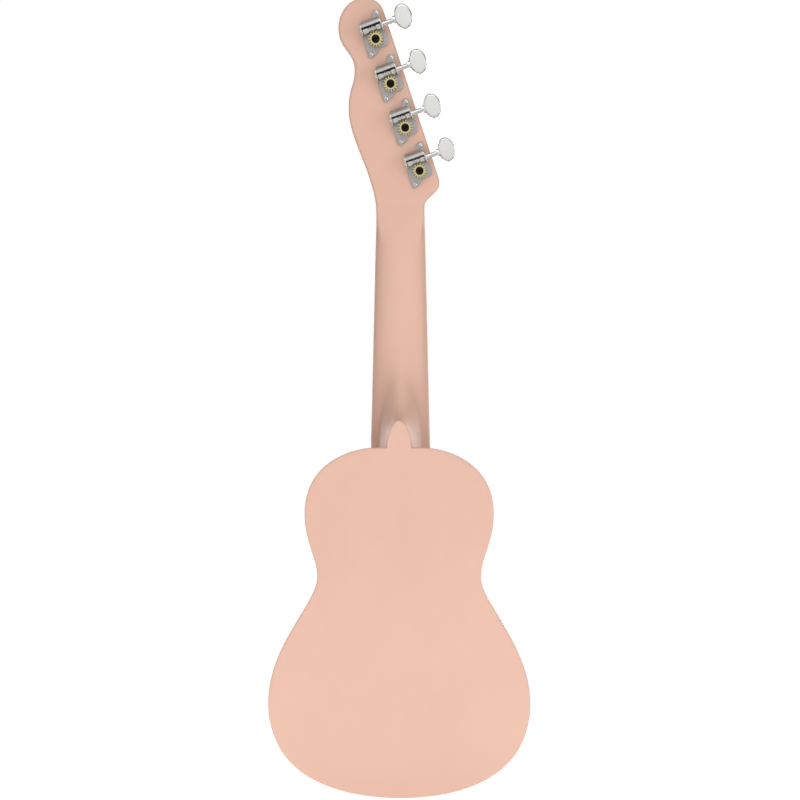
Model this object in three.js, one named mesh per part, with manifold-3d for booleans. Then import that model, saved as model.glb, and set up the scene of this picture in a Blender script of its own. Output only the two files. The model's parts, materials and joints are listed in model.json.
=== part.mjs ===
// Soprano ukulele with a solid one-side head, four geared tuners and four nylon strings.
//
// Frame, in millimetres: X points to the first-string side, Y to the back of the body, Z along the
// neck to the head. The origin is on the centre line where the strings leave the nut, in the plane
// of the soundboard's outer face, which is also the glue face of the neck and the fingerboard.

import * as THREE from 'three';
import { mergeVertices } from 'three/addons/utils/BufferGeometryUtils.js';
import Module from 'manifold-3d';

const wasm = await Module();
wasm.setup();

// ---------------------------------------------------------------- driving dimensions

// Strings and frets
const scaleLength = 345.4;
const fretCount = 12;
const strings = [
  { name: 'g', diameter: 0.6 },
  { name: 'c', diameter: 0.9 },
  { name: 'e', diameter: 0.8 },
  { name: 'a', diameter: 0.65 },
];
const nutStringSpan = 27;
const saddleStringSpan = 41;
const actionAtNut = 0.5;
const actionAtJoint = 2.4;

// Body
const bodyLength = 235.1;
const bodyDepth = 60;
const soundboardThickness = 2;
const backThickness = 2;
const sideThickness = 1.8;
const jointFlatHalf = 18;
const upperBoutHalf = 63.4;
const upperBoutDrop = 44.3;
const waistHalf = 54.9;
const waistDrop = 86.8;
const lowerBoutHalf = 87.9;
const lowerBoutDrop = 171.5;
const outlineFullness = {
  shoulder: [0.1, 0.9],
  upperBout: [0.44, 0.3],
  lowerBout: [0.21, 0.46],
  tail: [0.92, 0.28],
};
const soundholeRadius = 25;
const soundholeDrop = 80;

// Wood inside the body
const neckBlockHalf = 26;
const neckBlockLength = 20;
const tailBlockHalf = 22;
const tailBlockLength = 13;
const liningThickness = 5;
const braceWidth = 6;
const braceHeight = 8;
const upperTopBraceDrop = 46;
const lowerTopBraceDrop = 114;
const upperBackBraceDrop = 62;
const lowerBackBraceDrop = 150;
const bridgePlateThickness = 2;

// Neck, fingerboard and heel
const nutWidth = 35;
const jointWidth = 43;
const neckDepthAtNut = 12.4;
const neckDepthAtHeel = 14.5;
const heelTabHalf = 8.5;
const heelTabLength = 18.5;
const heelSweep = 44;
const heelFlare = 4.2;
const fingerboardThickness = 4;
const fingerboardOverhang = 6;
const fretWidth = 2;
const fretHeight = 1;
const fretTangWidth = 0.5;
const fretTangDepth = 1.6;
const nutThickness = 5;
const nutLip = 0.9;

// Bridge and saddle
const bridgeHalfLength = 38;
const bridgeHeight = 7;
const bridgeFront = 9;
const bridgeRear = 11;
const saddleThickness = 2.4;
const saddleHalfLength = 28;
const saddleSeatDepth = 4;
const knotRadius = 1.4;

// Head
const headTilt = THREE.MathUtils.degToRad(14);
const headThickness = 12;
const tunerLineTilt = THREE.MathUtils.degToRad(19);
const firstTuner = new THREE.Vector2(13.8, 23);
const tunerSpacing = 30.8;
const tunerToEdge = 11.2;
const headTop = new THREE.Vector2(-24.5, 137.4);
const headScroll = new THREE.Vector2(-42.2, 118.8);
const headHollow = new THREE.Vector2(-31.4, 91.2);
const headBulge = new THREE.Vector2(-36, 64.5);

// Tuner
const plateThickness = 1;
const plateHalfWidth = 7.7;
const wormDistance = 7.3;
const wormHeight = 4.7;
const gearTeeth = 15;
const gearPitchRadius = 4.7;
const gearTipRadius = 5.25;
const gearRootRadius = 3.8;
const gearThickness = 3;
const wormTurns = 2.6;
const wormRadius = 3.1;
const wormCoreRadius = 1.9;
const wormCollarRadius = 2.6;
const wormCollarStart = 3;
const threadRootHalf = 0.46;
const threadCrestHalf = 0.2;
const shaftRadius = 1.7;
const innerJournalRadius = 1.3;
const buttonReach = 22.5;
const buttonLength = 12.3;
const buttonWidth = 16.9;
const buttonDepth = 5.6;
const postRadius = 3;
const postWaistRadius = 2.55;
const postRise = 13;
const gearSeatRadius = 1.7;
const ferruleRadius = 4.2;
const ferruleFlangeRadius = 4.9;
const ferruleFlangeThickness = 1.2;
const ferruleDepth = 5.5;
const gearScrewRadius = 2.8;
const hoodStart = 2;
const hoodReach = 4.9;
const plateScrewSpots = [[6.3, 16.7], [-5.9, -7.4]];
const plateScrewHole = 1.2;
const stringWraps = 2.5;
const stringHeightAtPost = 4.6;

// Clearances
const glueGap = 0.1;
const turnedGap = 0.3;
const runningGap = 0.25;
const stringGap = 0.3;

// ---------------------------------------------------------------- derived places

const jointZ = -scaleLength / 2;
const tailZ = jointZ - bodyLength;
const backInside = bodyDepth - backThickness;
const saddleZ = -scaleLength;
const fingerboardTop = -fingerboardThickness;
const stringUnderNut = fingerboardTop - fretHeight - actionAtNut;
const stringUnderJoint = fingerboardTop - fretHeight - actionAtJoint;
const stringUnderSaddle = stringUnderNut + (stringUnderJoint - stringUnderNut) * (saddleZ / jointZ);
const tunerAcross = new THREE.Vector2(Math.cos(tunerLineTilt), Math.sin(tunerLineTilt));
const tunerAlong = new THREE.Vector2(-Math.sin(tunerLineTilt), Math.cos(tunerLineTilt));
const wormLead = (2 * Math.PI * gearPitchRadius) / gearTeeth;

// ---------------------------------------------------------------- colours

const paint = { color: 0xe6bda9, roughness: 0.42, metalness: 0 };
const spruce = { color: 0xd9bd8c, roughness: 0.7, metalness: 0 };
const mahogany = { color: 0x9a6443, roughness: 0.7, metalness: 0 };
const walnut = { color: 0x4b3022, roughness: 0.55, metalness: 0 };
const bone = { color: 0xefe9da, roughness: 0.4, metalness: 0 };
const nylon = { color: 0xe9e9e4, roughness: 0.25, metalness: 0 };
const nickel = { color: 0xb9b7b2, roughness: 0.3, metalness: 1 };
const chrome = { color: 0xdad9d6, roughness: 0.15, metalness: 1 };
const brass = { color: 0xd9bd5c, roughness: 0.35, metalness: 1 };
const blackSteel = { color: 0x1c1a18, roughness: 0.4, metalness: 0.8 };

// ---------------------------------------------------------------- helpers

// A geometry of positions only, its shared corners merged and its faces turned outwards.
function skinOf(geometry) {
  const bare = new THREE.BufferGeometry();
  bare.setAttribute('position', geometry.getAttribute('position'));
  bare.setIndex(geometry.getIndex());
  const merged = mergeVertices(bare, 1e-4);
  const place = merged.getAttribute('position');
  const index = merged.getIndex();
  let volume = 0;
  const corner = (at) => new THREE.Vector3().fromBufferAttribute(place, index.getX(at));
  for (let i = 0; i < index.count; i += 3) {
    volume += corner(i).dot(corner(i + 1).cross(corner(i + 2)));
  }
  if (volume < 0) {
    index.array.reverse();
  }
  return merged;
}

function solidOf(geometry) {
  const merged = skinOf(geometry);
  return new wasm.Manifold(new wasm.Mesh({
    numProp: 3,
    vertProperties: new Float32Array(merged.getAttribute('position').array),
    triVerts: new Uint32Array(merged.getIndex().array),
  }));
}

function geometryOf(solid) {
  const mesh = solid.getMesh();
  const geometry = new THREE.BufferGeometry();
  geometry.setAttribute('position', new THREE.BufferAttribute(mesh.vertProperties, mesh.numProp));
  geometry.setIndex(new THREE.BufferAttribute(mesh.triVerts, 1));
  return geometry;
}

function cut(base, ...tools) {
  return geometryOf(tools.reduce((solid, tool) => solid.subtract(solidOf(tool)), solidOf(base)));
}

function join(base, ...others) {
  return geometryOf(others.reduce((solid, other) => solid.add(solidOf(other)), solidOf(base)));
}

function common(base, other) {
  return geometryOf(solidOf(base).intersect(solidOf(other)));
}

function named(name, geometry, finish) {
  const mesh = new THREE.Mesh(skinOf(geometry), new THREE.MeshStandardMaterial(finish));
  mesh.name = name;
  return mesh;
}

// A block between two corners.
function block(x0, x1, y0, y1, z0, z1) {
  const geometry = new THREE.BoxGeometry(x1 - x0, y1 - y0, z1 - z0);
  return geometry.translate((x0 + x1) / 2, (y0 + y1) / 2, (z0 + z1) / 2);
}

// A cylinder along local Z from z0 to z1.
function rod(radius, z0, z1, sides = 16) {
  const geometry = new THREE.CylinderGeometry(radius, radius, z1 - z0, sides);
  return geometry.rotateX(Math.PI / 2).translate(0, 0, (z0 + z1) / 2);
}

// A turned piece whose axis is local Z, from a list of [radius, height] pairs.
function turned(profile, sides) {
  const points = profile.map(([radius, height]) => new THREE.Vector2(radius, height));
  return new THREE.LatheGeometry(points, sides).rotateX(Math.PI / 2);
}

// A flat outline drawn in X and Z, made solid from y0 to y1.
function plate(shape, y0, y1, curveSegments = 10) {
  const geometry = new THREE.ExtrudeGeometry(shape, { depth: y1 - y0, bevelEnabled: false, curveSegments });
  return geometry.rotateX(Math.PI / 2).translate(0, y1, 0);
}

// A section drawn in Z (along) and Y (depth), made solid across X from x0 to x1.
function bar(section, x0, x1) {
  const shape = new THREE.Shape(section.map(([z, y]) => new THREE.Vector2(-z, y)));
  const geometry = new THREE.ExtrudeGeometry(shape, { depth: x1 - x0, bevelEnabled: false });
  return geometry.rotateY(Math.PI / 2).translate(x0, 0, 0);
}

// A closed skin through rings of equally many points, with a fan over each end.
function loft(rings) {
  const count = rings[0].length;
  const centre = (ring) => ring.reduce((sum, p) => sum.add(p), new THREE.Vector3()).divideScalar(count);
  const points = [...rings.flat(), centre(rings[0]), centre(rings[rings.length - 1])];
  const triangles = [];
  for (let i = 0; i < count; i += 1) {
    const j = (i + 1) % count;
    const last = (rings.length - 1) * count;
    triangles.push(rings.length * count, j, i);
    triangles.push(rings.length * count + 1, last + i, last + j);
    for (let k = 0; k < rings.length - 1; k += 1) {
      const a = k * count;
      triangles.push(a + i, a + j, a + count + j, a + i, a + count + j, a + count + i);
    }
  }
  const geometry = new THREE.BufferGeometry().setFromPoints(points);
  geometry.setIndex(triangles);
  return geometry;
}

// A route that takes one tube step from each of its points to the next.
class StepCurve extends THREE.CatmullRomCurve3 {
  getUtoTmapping(u) {
    return u;
  }
}

function tube(points, radius, sides = 8) {
  const section = new THREE.Shape().absarc(0, 0, radius, 0, 2 * Math.PI);
  const round = new THREE.Shape(section.getPoints(sides).slice(0, sides));
  const path = new StepCurve(points, false, 'centripetal');
  return new THREE.ExtrudeGeometry(round, { steps: points.length - 1, extrudePath: path });
}

// ---------------------------------------------------------------- body outline

// Carries a path on from one upright tangent to the next: leave and arrive are the lengths of the
// two handles as shares of the height between the points.
function flow(path, to, [leave, arrive]) {
  const from = path.currentPoint.clone();
  const rise = to.y - from.y;
  path.bezierCurveTo(from.x, from.y + leave * rise, to.x, to.y - arrive * rise, to.x, to.y);
}

// Half of the body's outline, from the neck joint to the tail, as five stretches.
function halfOutline() {
  const { shoulder, upperBout, lowerBout, tail } = outlineFullness;
  const upper = new THREE.Vector2(upperBoutHalf, jointZ - upperBoutDrop);
  const waist = new THREE.Vector2(waistHalf, jointZ - waistDrop);
  const lower = new THREE.Vector2(lowerBoutHalf, jointZ - lowerBoutDrop);
  const path = new THREE.Path();
  path.moveTo(0, jointZ);
  path.lineTo(jointFlatHalf, jointZ);
  const shoulderX = jointFlatHalf + shoulder[0] * (upper.x - jointFlatHalf);
  path.bezierCurveTo(shoulderX, jointZ, upper.x, upper.y + shoulder[1] * upperBoutDrop, upper.x, upper.y);
  flow(path, waist, upperBout);
  flow(path, lower, lowerBout);
  const tailHandle = lower.y + tail[0] * (tailZ - lower.y);
  path.bezierCurveTo(lower.x, tailHandle, tail[1] * lower.x, tailZ, 0, tailZ);
  return path.getPoints(10);
}

function mirrored(points) {
  return points.map((p) => new THREE.Vector2(-p.x, p.y)).reverse();
}

function bodyOutline() {
  const half = halfOutline();
  return [...half, ...mirrored(half.slice(1, -1))];
}

// The outline moved inwards by a distance, each point along the bisector of its two edges.
function inset(outline, distance) {
  return outline.map((point, i) => {
    const before = outline[(i + outline.length - 1) % outline.length];
    const after = outline[(i + 1) % outline.length];
    const edgeIn = point.clone().sub(before).normalize();
    const edgeOut = after.clone().sub(point).normalize();
    const bisector = new THREE.Vector2(edgeIn.y + edgeOut.y, -edgeIn.x - edgeOut.x).normalize();
    const spread = bisector.dot(new THREE.Vector2(edgeIn.y, -edgeIn.x));
    return point.clone().add(bisector.multiplyScalar(distance / spread));
  });
}

// The space inside the sides, drawn back from their inner face by a margin.
function cavity(margin) {
  const outline = inset(bodyOutline(), sideThickness + margin);
  return plate(new THREE.Shape(outline), soundboardThickness, backInside);
}

// ---------------------------------------------------------------- body pieces

function soundboard() {
  const shape = new THREE.Shape(bodyOutline());
  const hole = new THREE.Path().absarc(0, jointZ - soundholeDrop, soundholeRadius, 0, 2 * Math.PI);
  shape.holes.push(hole);
  return plate(shape, 0, soundboardThickness, 20);
}

// Half of the heel tab's rim, from the body's edge to the tip, drawn back by a margin.
function heelTab(margin) {
  const half = heelTabHalf - margin;
  const tip = jointZ + heelTabLength - margin;
  const path = new THREE.Path();
  path.moveTo(half, jointZ);
  path.bezierCurveTo(half, jointZ + 0.49 * heelTabLength, 0.46 * half, tip, 0, tip);
  return path.getPoints(8);
}

function backPlate() {
  const half = halfOutline().slice(1);
  const tab = heelTab(0).reverse();
  const outline = [...tab, ...half, ...mirrored(half.slice(0, -1)), ...mirrored(tab.slice(1))];
  return plate(new THREE.Shape(outline), backInside, bodyDepth);
}

// One bent side: side is 1 for the first-string side and -1 for the fourth-string side.
function bentSide(side) {
  const outer = bodyOutline();
  const inner = inset(outer, sideThickness);
  const last = halfOutline().length;
  const ring = [...outer.slice(0, last), ...inner.slice(0, last).reverse()];
  const shape = new THREE.Shape(ring.map((p) => new THREE.Vector2(side * p.x, p.y)));
  return plate(shape, soundboardThickness, backInside);
}

function neckBlock() {
  const low = jointZ - sideThickness - neckBlockLength;
  return common(cavity(glueGap), block(-neckBlockHalf, neckBlockHalf, 0, bodyDepth, low, 0));
}

function tailBlock() {
  const high = tailZ + sideThickness + tailBlockLength;
  return common(cavity(glueGap), block(-tailBlockHalf, tailBlockHalf, 0, bodyDepth, 2 * tailZ, high));
}

// A cross brace glued to the plate at depth y, standing towards the middle of the body.
function crossBrace(drop, y, towards) {
  const z = jointZ - drop;
  const foot = braceWidth / 2;
  const crest = braceWidth / 5;
  const rise = towards * braceHeight;
  const section = [
    [z - foot, y], [z + foot, y],
    [z + foot, y + rise / 2], [z + crest, y + rise],
    [z - crest, y + rise], [z - foot, y + rise / 2],
  ];
  return common(bar(section, -lowerBoutHalf, lowerBoutHalf), cavity(liningThickness + glueGap));
}

function bridgePlate() {
  const y1 = soundboardThickness + bridgePlateThickness;
  const reach = bridgeHalfLength - 4;
  return block(-reach, reach, soundboardThickness, y1, saddleZ - bridgeRear, saddleZ + bridgeFront);
}

// ---------------------------------------------------------------- neck

function neckHalfWidth(z) {
  return THREE.MathUtils.mapLinear(z, 0, jointZ, nutWidth / 2, jointWidth / 2);
}

// Ring of the shaft at height z: flat in front, a rounded D behind, squarer close to the head.
function shaftRing(z) {
  const steps = 12;
  const half = neckHalfWidth(z);
  const depth = THREE.MathUtils.mapLinear(z, 0, jointZ, neckDepthAtNut, neckDepthAtHeel);
  const nearHead = THREE.MathUtils.smoothstep(z, -25, nutThickness);
  const power = 2 / (2.2 + 2.4 * nearHead);
  const ring = [];
  for (let i = 0; i <= steps; i += 1) {
    const angle = (Math.PI * i) / steps;
    const across = Math.sign(Math.cos(angle)) * Math.abs(Math.cos(angle)) ** power;
    const deep = i === 0 || i === steps ? 0 : Math.sin(angle) ** power;
    ring.push(new THREE.Vector3(half * across, depth * deep, z));
  }
  return ring;
}

function shaft() {
  const stations = [nutThickness, -4, -12, -20, -60, -110, jointZ];
  return loft(stations.map(shaftRing));
}

// Ring of the heel at depth y: the tab's rim, grown wider and longer towards the shaft.
function heelRing(y) {
  const toShaft = (backInside - y) / (backInside - neckDepthAtHeel);
  const widen = 1 + (heelFlare / heelTabHalf) * toShaft ** 1.6;
  const lengthen = 1 + (heelSweep / heelTabLength) * toShaft ** 2.6;
  const half = heelTab(turnedGap);
  const rim = [...half, ...mirrored(half).slice(1)];
  return rim.map((p) => new THREE.Vector3(p.x * widen, y, jointZ + (p.y - jointZ) * lengthen));
}

function heel() {
  const shares = [1, 0.85, 0.7, 0.55, 0.4, 0.25, 0.1, 0];
  const depth = backInside - neckDepthAtHeel;
  const rings = shares.map((share) => heelRing(backInside - share * depth));
  const foot = rings[0].map((p) => new THREE.Vector3(p.x, neckDepthAtHeel / 2, p.z));
  return loft([foot, ...rings]);
}

// The head's outline in its own plane: x to the tuner side, y from the nut to the tip.
function headOutline() {
  const edge = (along) => firstTuner.clone()
    .addScaledVector(tunerAcross, tunerToEdge)
    .addScaledVector(tunerAlong, along);
  const low = edge(-7.5);
  const high = edge(3 * tunerSpacing + 13);
  const nutHalf = nutWidth / 2;
  const shape = new THREE.Shape();
  shape.moveTo(nutHalf, 0);
  shape.bezierCurveTo(nutHalf + 0.4, 1.6, nutHalf + 1.8, 3.2, low.x - 4.6, low.y - 13.8);
  shape.bezierCurveTo(low.x - 2, low.y - 11.5, low.x + 1.1, low.y - 9, low.x + 1.1, low.y - 5.3);
  shape.quadraticCurveTo(low.x + 1.1, low.y - 2.6, low.x, low.y);
  shape.lineTo(high.x, high.y);
  shape.bezierCurveTo(high.x - 2, high.y + 6, headTop.x + 10.5, headTop.y, headTop.x, headTop.y);
  const scrollHandle = headTop.y - 0.68 * (headTop.y - headScroll.y);
  shape.bezierCurveTo(headTop.x - 13.3, headTop.y, headScroll.x, scrollHandle, headScroll.x, headScroll.y);
  flow(shape, headHollow, [0.56, 0.45]);
  flow(shape, headBulge, [0.39, 0.56]);
  const bulgeHandle = 0.71 * headBulge.y;
  shape.bezierCurveTo(headBulge.x, bulgeHandle, -nutHalf - 2.9, 0.37 * headBulge.y, -nutHalf, 0);
  return shape;
}

function headFrame() {
  const back = new THREE.Vector3(0, Math.cos(headTilt), -Math.sin(headTilt));
  const up = new THREE.Vector3(0, Math.sin(headTilt), Math.cos(headTilt));
  const frame = new THREE.Matrix4().makeBasis(new THREE.Vector3(-1, 0, 0), up, back);
  return frame.setPosition(0, 0, nutThickness);
}

function tunerPlace(index) {
  return firstTuner.clone().addScaledVector(tunerAlong, index * tunerSpacing);
}

// The stepped bore for one post and its ferrule, in the neck's own frame.
function postBore(index) {
  const place = tunerPlace(index);
  const seat = ferruleDepth + turnedGap;
  const bore = turned([
    [0, -1], [ferruleRadius + turnedGap, -1], [ferruleRadius + turnedGap, seat],
    [postRadius + turnedGap, seat], [postRadius + turnedGap, headThickness + 1], [0, headThickness + 1],
  ], 16);
  return bore.translate(place.x, place.y, 0).applyMatrix4(headFrame());
}

function neck() {
  const head = new THREE.ExtrudeGeometry(headOutline(), {
    depth: headThickness, bevelEnabled: false, curveSegments: 7,
  });
  head.applyMatrix4(headFrame());
  const whole = join(head, shaft(), heel());
  return cut(whole, ...strings.map((_, index) => postBore(index)));
}

// ---------------------------------------------------------------- fingerboard, frets, nut

function fretZ(number) {
  return -scaleLength * (1 - 2 ** (-number / 12));
}

function fingerboard() {
  const end = jointZ - fingerboardOverhang;
  const shape = new THREE.Shape([
    new THREE.Vector2(-neckHalfWidth(0), 0), new THREE.Vector2(-neckHalfWidth(end), end),
    new THREE.Vector2(neckHalfWidth(end), end), new THREE.Vector2(neckHalfWidth(0), 0),
  ]);
  const slotHalf = fretTangWidth / 2 + glueGap;
  const slots = [];
  for (let number = 1; number <= fretCount; number += 1) {
    const z = fretZ(number);
    const bottom = fingerboardTop + fretTangDepth + glueGap;
    slots.push(block(-jointWidth, jointWidth, fingerboardTop - 1, bottom, z - slotHalf, z + slotHalf));
  }
  return cut(plate(shape, fingerboardTop, 0), ...slots);
}

// A fret wire: a low rounded crown on a thin tang.
function fret(number) {
  const z = fretZ(number);
  const half = fretWidth / 2;
  const tang = fretTangWidth / 2;
  const section = [
    [z - half, fingerboardTop], [z - 0.75 * half, fingerboardTop - 0.7 * fretHeight],
    [z - 0.3 * half, fingerboardTop - fretHeight], [z + 0.3 * half, fingerboardTop - fretHeight],
    [z + 0.75 * half, fingerboardTop - 0.7 * fretHeight], [z + half, fingerboardTop],
    [z + tang, fingerboardTop], [z + tang, fingerboardTop + fretTangDepth],
    [z - tang, fingerboardTop + fretTangDepth], [z - tang, fingerboardTop],
  ];
  const reach = neckHalfWidth(z) - 0.4;
  return bar(section, -reach, reach);
}

function spreadOf(index, span) {
  return span * (index / (strings.length - 1) - 0.5);
}

function nut() {
  const crest = stringUnderNut - nutLip;
  const section = [
    [0, 0], [nutThickness, 0], [nutThickness, crest + 1.4],
    [nutThickness - 1.5, crest + 0.3], [1, crest], [0, crest + 0.4],
  ];
  const slots = strings.map(({ diameter }, index) => {
    const x = spreadOf(index, nutStringSpan);
    const half = diameter / 2 + stringGap;
    return block(x - half, x + half, crest - 1, stringUnderNut + stringGap, -1, nutThickness + 1);
  });
  return cut(bar(section, -nutWidth / 2, nutWidth / 2), ...slots);
}

// ---------------------------------------------------------------- bridge and saddle

function knotPlace(index) {
  const x = spreadOf(index, saddleStringSpan);
  return new THREE.Vector3(x, -knotRadius - 1.6, saddleZ - bridgeRear + knotRadius + 0.4);
}

function bridge() {
  const front = saddleZ + bridgeFront;
  const rear = saddleZ - bridgeRear;
  const section = [
    [front, 0], [front, -3.5], [front - 3.5, -bridgeHeight],
    [rear + 2, -bridgeHeight], [rear, -5.5], [rear, 0],
  ];
  const seatHalf = saddleThickness / 2 + glueGap;
  const seatReach = saddleHalfLength + glueGap;
  const seat = block(
    -seatReach, seatReach,
    -bridgeHeight - 1, -bridgeHeight + saddleSeatDepth,
    saddleZ - seatHalf, saddleZ + seatHalf,
  );
  const notches = strings.flatMap(({ diameter }, index) => {
    const { x, y, z } = knotPlace(index);
    const half = diameter / 2 + stringGap + 0.3;
    const pocket = knotRadius + stringGap;
    const bottom = y + pocket;
    const slotEnd = saddleZ - seatHalf - 1;
    return [
      block(x - half, x + half, -bridgeHeight - 1, bottom, rear - 1, slotEnd),
      block(x - pocket, x + pocket, -bridgeHeight - 1, bottom, rear - 1, z + pocket),
    ];
  });
  return cut(bar(section, -bridgeHalfLength, bridgeHalfLength), seat, ...notches);
}

function saddle() {
  const half = saddleThickness / 2;
  const crest = stringUnderSaddle + stringGap;
  const section = [
    [saddleZ - half, -bridgeHeight + saddleSeatDepth - glueGap], [saddleZ - half, crest + 0.6],
    [saddleZ - 0.4 * half, crest], [saddleZ + 0.4 * half, crest],
    [saddleZ + half, crest + 0.6], [saddleZ + half, -bridgeHeight + saddleSeatDepth - glueGap],
  ];
  return bar(section, -saddleHalfLength, saddleHalfLength);
}

// ---------------------------------------------------------------- strings

// A string from its knot over the saddle and nut to the turns round its post.
function stringRoute(index) {
  const radius = strings[index].diameter / 2;
  const knot = knotPlace(index);
  const nutX = spreadOf(index, nutStringSpan);
  const overSaddle = new THREE.Vector3(knot.x, stringUnderSaddle - radius, saddleZ);
  const overNut = new THREE.Vector3(nutX, stringUnderNut - radius, 0);
  const lean = overNut.clone().sub(overSaddle).normalize();
  const offNut = new THREE.Vector3(nutX, overNut.y, nutThickness);
  return [
    knot,
    overSaddle.clone().addScaledVector(overSaddle.clone().sub(knot).normalize(), -0.8),
    overSaddle.clone().addScaledVector(lean, 0.8),
    overSaddle.clone().lerp(overNut, 0.5),
    overNut,
    offNut,
    ...postTurns(index),
  ];
}

// The turns round the post, from the side away from the buttons, climbing to the cross hole.
function postTurns(index) {
  const radius = strings[index].diameter / 2;
  const centre = tunerPlace(index);
  const coil = postWaistRadius + stringGap + radius;
  const climb = 2 * radius + 0.15;
  const stepsPerTurn = 10;
  const steps = Math.round(stringWraps * stepsPerTurn);
  const frame = headFrame();
  const turns = [];
  for (let i = 0; i <= steps; i += 1) {
    const angle = (2 * Math.PI * i) / stepsPerTurn;
    const height = stringHeightAtPost + (climb * i) / stepsPerTurn;
    const x = centre.x - coil * Math.cos(angle);
    const y = centre.y + coil * Math.sin(angle);
    turns.push(new THREE.Vector3(x, y, -height).applyMatrix4(frame));
  }
  return turns;
}

function string(index) {
  const { x, y, z } = knotPlace(index);
  const knot = new THREE.IcosahedronGeometry(knotRadius, 1).translate(x, y, z);
  return join(tube(stringRoute(index), strings[index].diameter / 2), knot);
}

// ---------------------------------------------------------------- tuners
// Each tuner is built at the middle of its post on the head's back face: x runs out along the
// button's shaft, y towards the head's tip, z straight out of the head's back.

function tunerOutline() {
  const w = plateHalfWidth;
  const shape = new THREE.Shape();
  shape.moveTo(-w, 13);
  shape.lineTo(-w, -9);
  shape.quadraticCurveTo(-w, -10.3, -w + 1.6, -10.3);
  shape.lineTo(-4, -9.6);
  shape.lineTo(-2.6, -7.6);
  shape.lineTo(-0.6, -7.4);
  shape.lineTo(0.6, -6.2);
  shape.lineTo(5.4, -6);
  shape.quadraticCurveTo(w + 0.4, -5.6, w + 0.4, -3.4);
  shape.lineTo(w, 12);
  shape.lineTo(w + 0.8, 16.5);
  shape.quadraticCurveTo(w + 0.6, 18.6, 6.3, 18.6);
  shape.quadraticCurveTo(4.4, 18.6, 4.2, 16.8);
  shape.lineTo(3.4, 14.4);
  return shape;
}

// The hood: a bent strip that rises from the plate's tip side and ends above the worm.
function hood() {
  const outer = { y: hoodReach, z: wormHeight + wormRadius + plateThickness + turnedGap };
  const middle = wormDistance + hoodStart;
  const floor = turnedGap;
  const steps = 6;
  const arc = (shrink) => Array.from({ length: steps + 1 }, (_, i) => {
    const angle = (Math.PI / 2) * (i / steps);
    const y = middle + (outer.y - shrink) * Math.cos(angle);
    return new THREE.Vector2(y, floor + (outer.z - shrink) * Math.sin(angle));
  });
  const section = new THREE.Shape([...arc(0), ...arc(plateThickness).reverse()]);
  const depth = 2 * plateHalfWidth;
  const strip = new THREE.ExtrudeGeometry(section, { depth, bevelEnabled: false });
  const turn = new THREE.Matrix4().set(0, 0, 1, -plateHalfWidth, 1, 0, 0, 0, 0, 1, 0, 0, 0, 0, 0, 1);
  return strip.applyMatrix4(turn);
}

function ear(x0) {
  const foot = turnedGap;
  return block(x0, x0 + plateThickness, wormDistance - 3.2, wormDistance + 5.6, foot, wormHeight + 2.9);
}

function shaftHole(radius, x0) {
  const hole = rod(radius, x0 - 1, x0 + plateThickness + 1, 12);
  return hole.rotateY(Math.PI / 2).translate(0, wormDistance, wormHeight);
}

function tunerPlate() {
  const base = new THREE.ExtrudeGeometry(tunerOutline(), {
    depth: plateThickness, bevelEnabled: false, curveSegments: 3,
  }).translate(0, 0, turnedGap);
  const inner = -plateHalfWidth;
  const outer = plateHalfWidth - plateThickness;
  const folded = join(base, hood(), ear(inner), ear(outer));
  return cut(
    folded,
    rod(gearSeatRadius + 1.2, -1, 3, 16),
    ...plateScrewSpots.map(([x, y]) => rod(plateScrewHole, -1, 3, 8).translate(x, y, 0)),
    shaftHole(innerJournalRadius + runningGap, inner),
    shaftHole(shaftRadius + runningGap, outer),
  );
}

// One right-handed thread, a trapezoid carried along a helix round local Z.
function wormThread() {
  const stepsPerTurn = 10;
  const steps = wormTurns * stepsPerTurn;
  const sunk = wormCoreRadius - 0.35;
  const rings = [];
  for (let i = 0; i <= steps; i += 1) {
    const angle = (2 * Math.PI * (i - steps / 2)) / stepsPerTurn;
    const along = (wormLead * angle) / (2 * Math.PI);
    const corner = (radius, offset) => new THREE.Vector3(
      radius * Math.cos(angle), radius * Math.sin(angle), along + offset,
    );
    rings.push([
      corner(sunk, -threadRootHalf), corner(wormRadius, -threadCrestHalf),
      corner(wormRadius, threadCrestHalf), corner(sunk, threadRootHalf),
    ]);
  }
  return loft(rings);
}

// Turns local Z to the shaft's direction and local X to the head's tip.
function alongShaft(geometry) {
  const turn = new THREE.Matrix4().set(
    0, 0, 1, 0,
    1, 0, 0, wormDistance,
    0, 1, 0, wormHeight,
    0, 0, 0, 1,
  );
  return geometry.applyMatrix4(turn);
}

function wormShaft() {
  const earInside = plateHalfWidth - plateThickness - turnedGap;
  const core = turned([
    [0, -plateHalfWidth - 1.4], [innerJournalRadius, -plateHalfWidth - 1.4],
    [innerJournalRadius, -earInside], [wormCollarRadius, -earInside],
    [wormCollarRadius, -wormCollarStart], [wormCoreRadius, -wormCollarStart],
    [wormCoreRadius, wormCollarStart], [wormCollarRadius, wormCollarStart],
    [wormCollarRadius, earInside], [shaftRadius, earInside],
    [shaftRadius, buttonInnerEnd() - turnedGap], [innerJournalRadius, buttonInnerEnd() - turnedGap],
    [innerJournalRadius, buttonInnerEnd() + 4], [0, buttonInnerEnd() + 4],
  ], 12);
  return alongShaft(join(core, wormThread()));
}

function buttonInnerEnd() {
  return buttonReach - buttonLength / 2 - 1;
}

// The oval button with its collar and the blind hole for the shaft's end.
function button() {
  const oval = new THREE.SphereGeometry(1, 14, 10);
  oval.scale(buttonWidth / 2, buttonDepth / 2, buttonLength / 2).translate(0, 0, buttonReach);
  const start = buttonInnerEnd();
  const collar = rod(shaftRadius + 1, start, start + 2.6, 12);
  const hole = rod(innerJournalRadius + turnedGap, start - 1, start + 4 + turnedGap, 12);
  return alongShaft(cut(join(oval, collar), hole));
}

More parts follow.
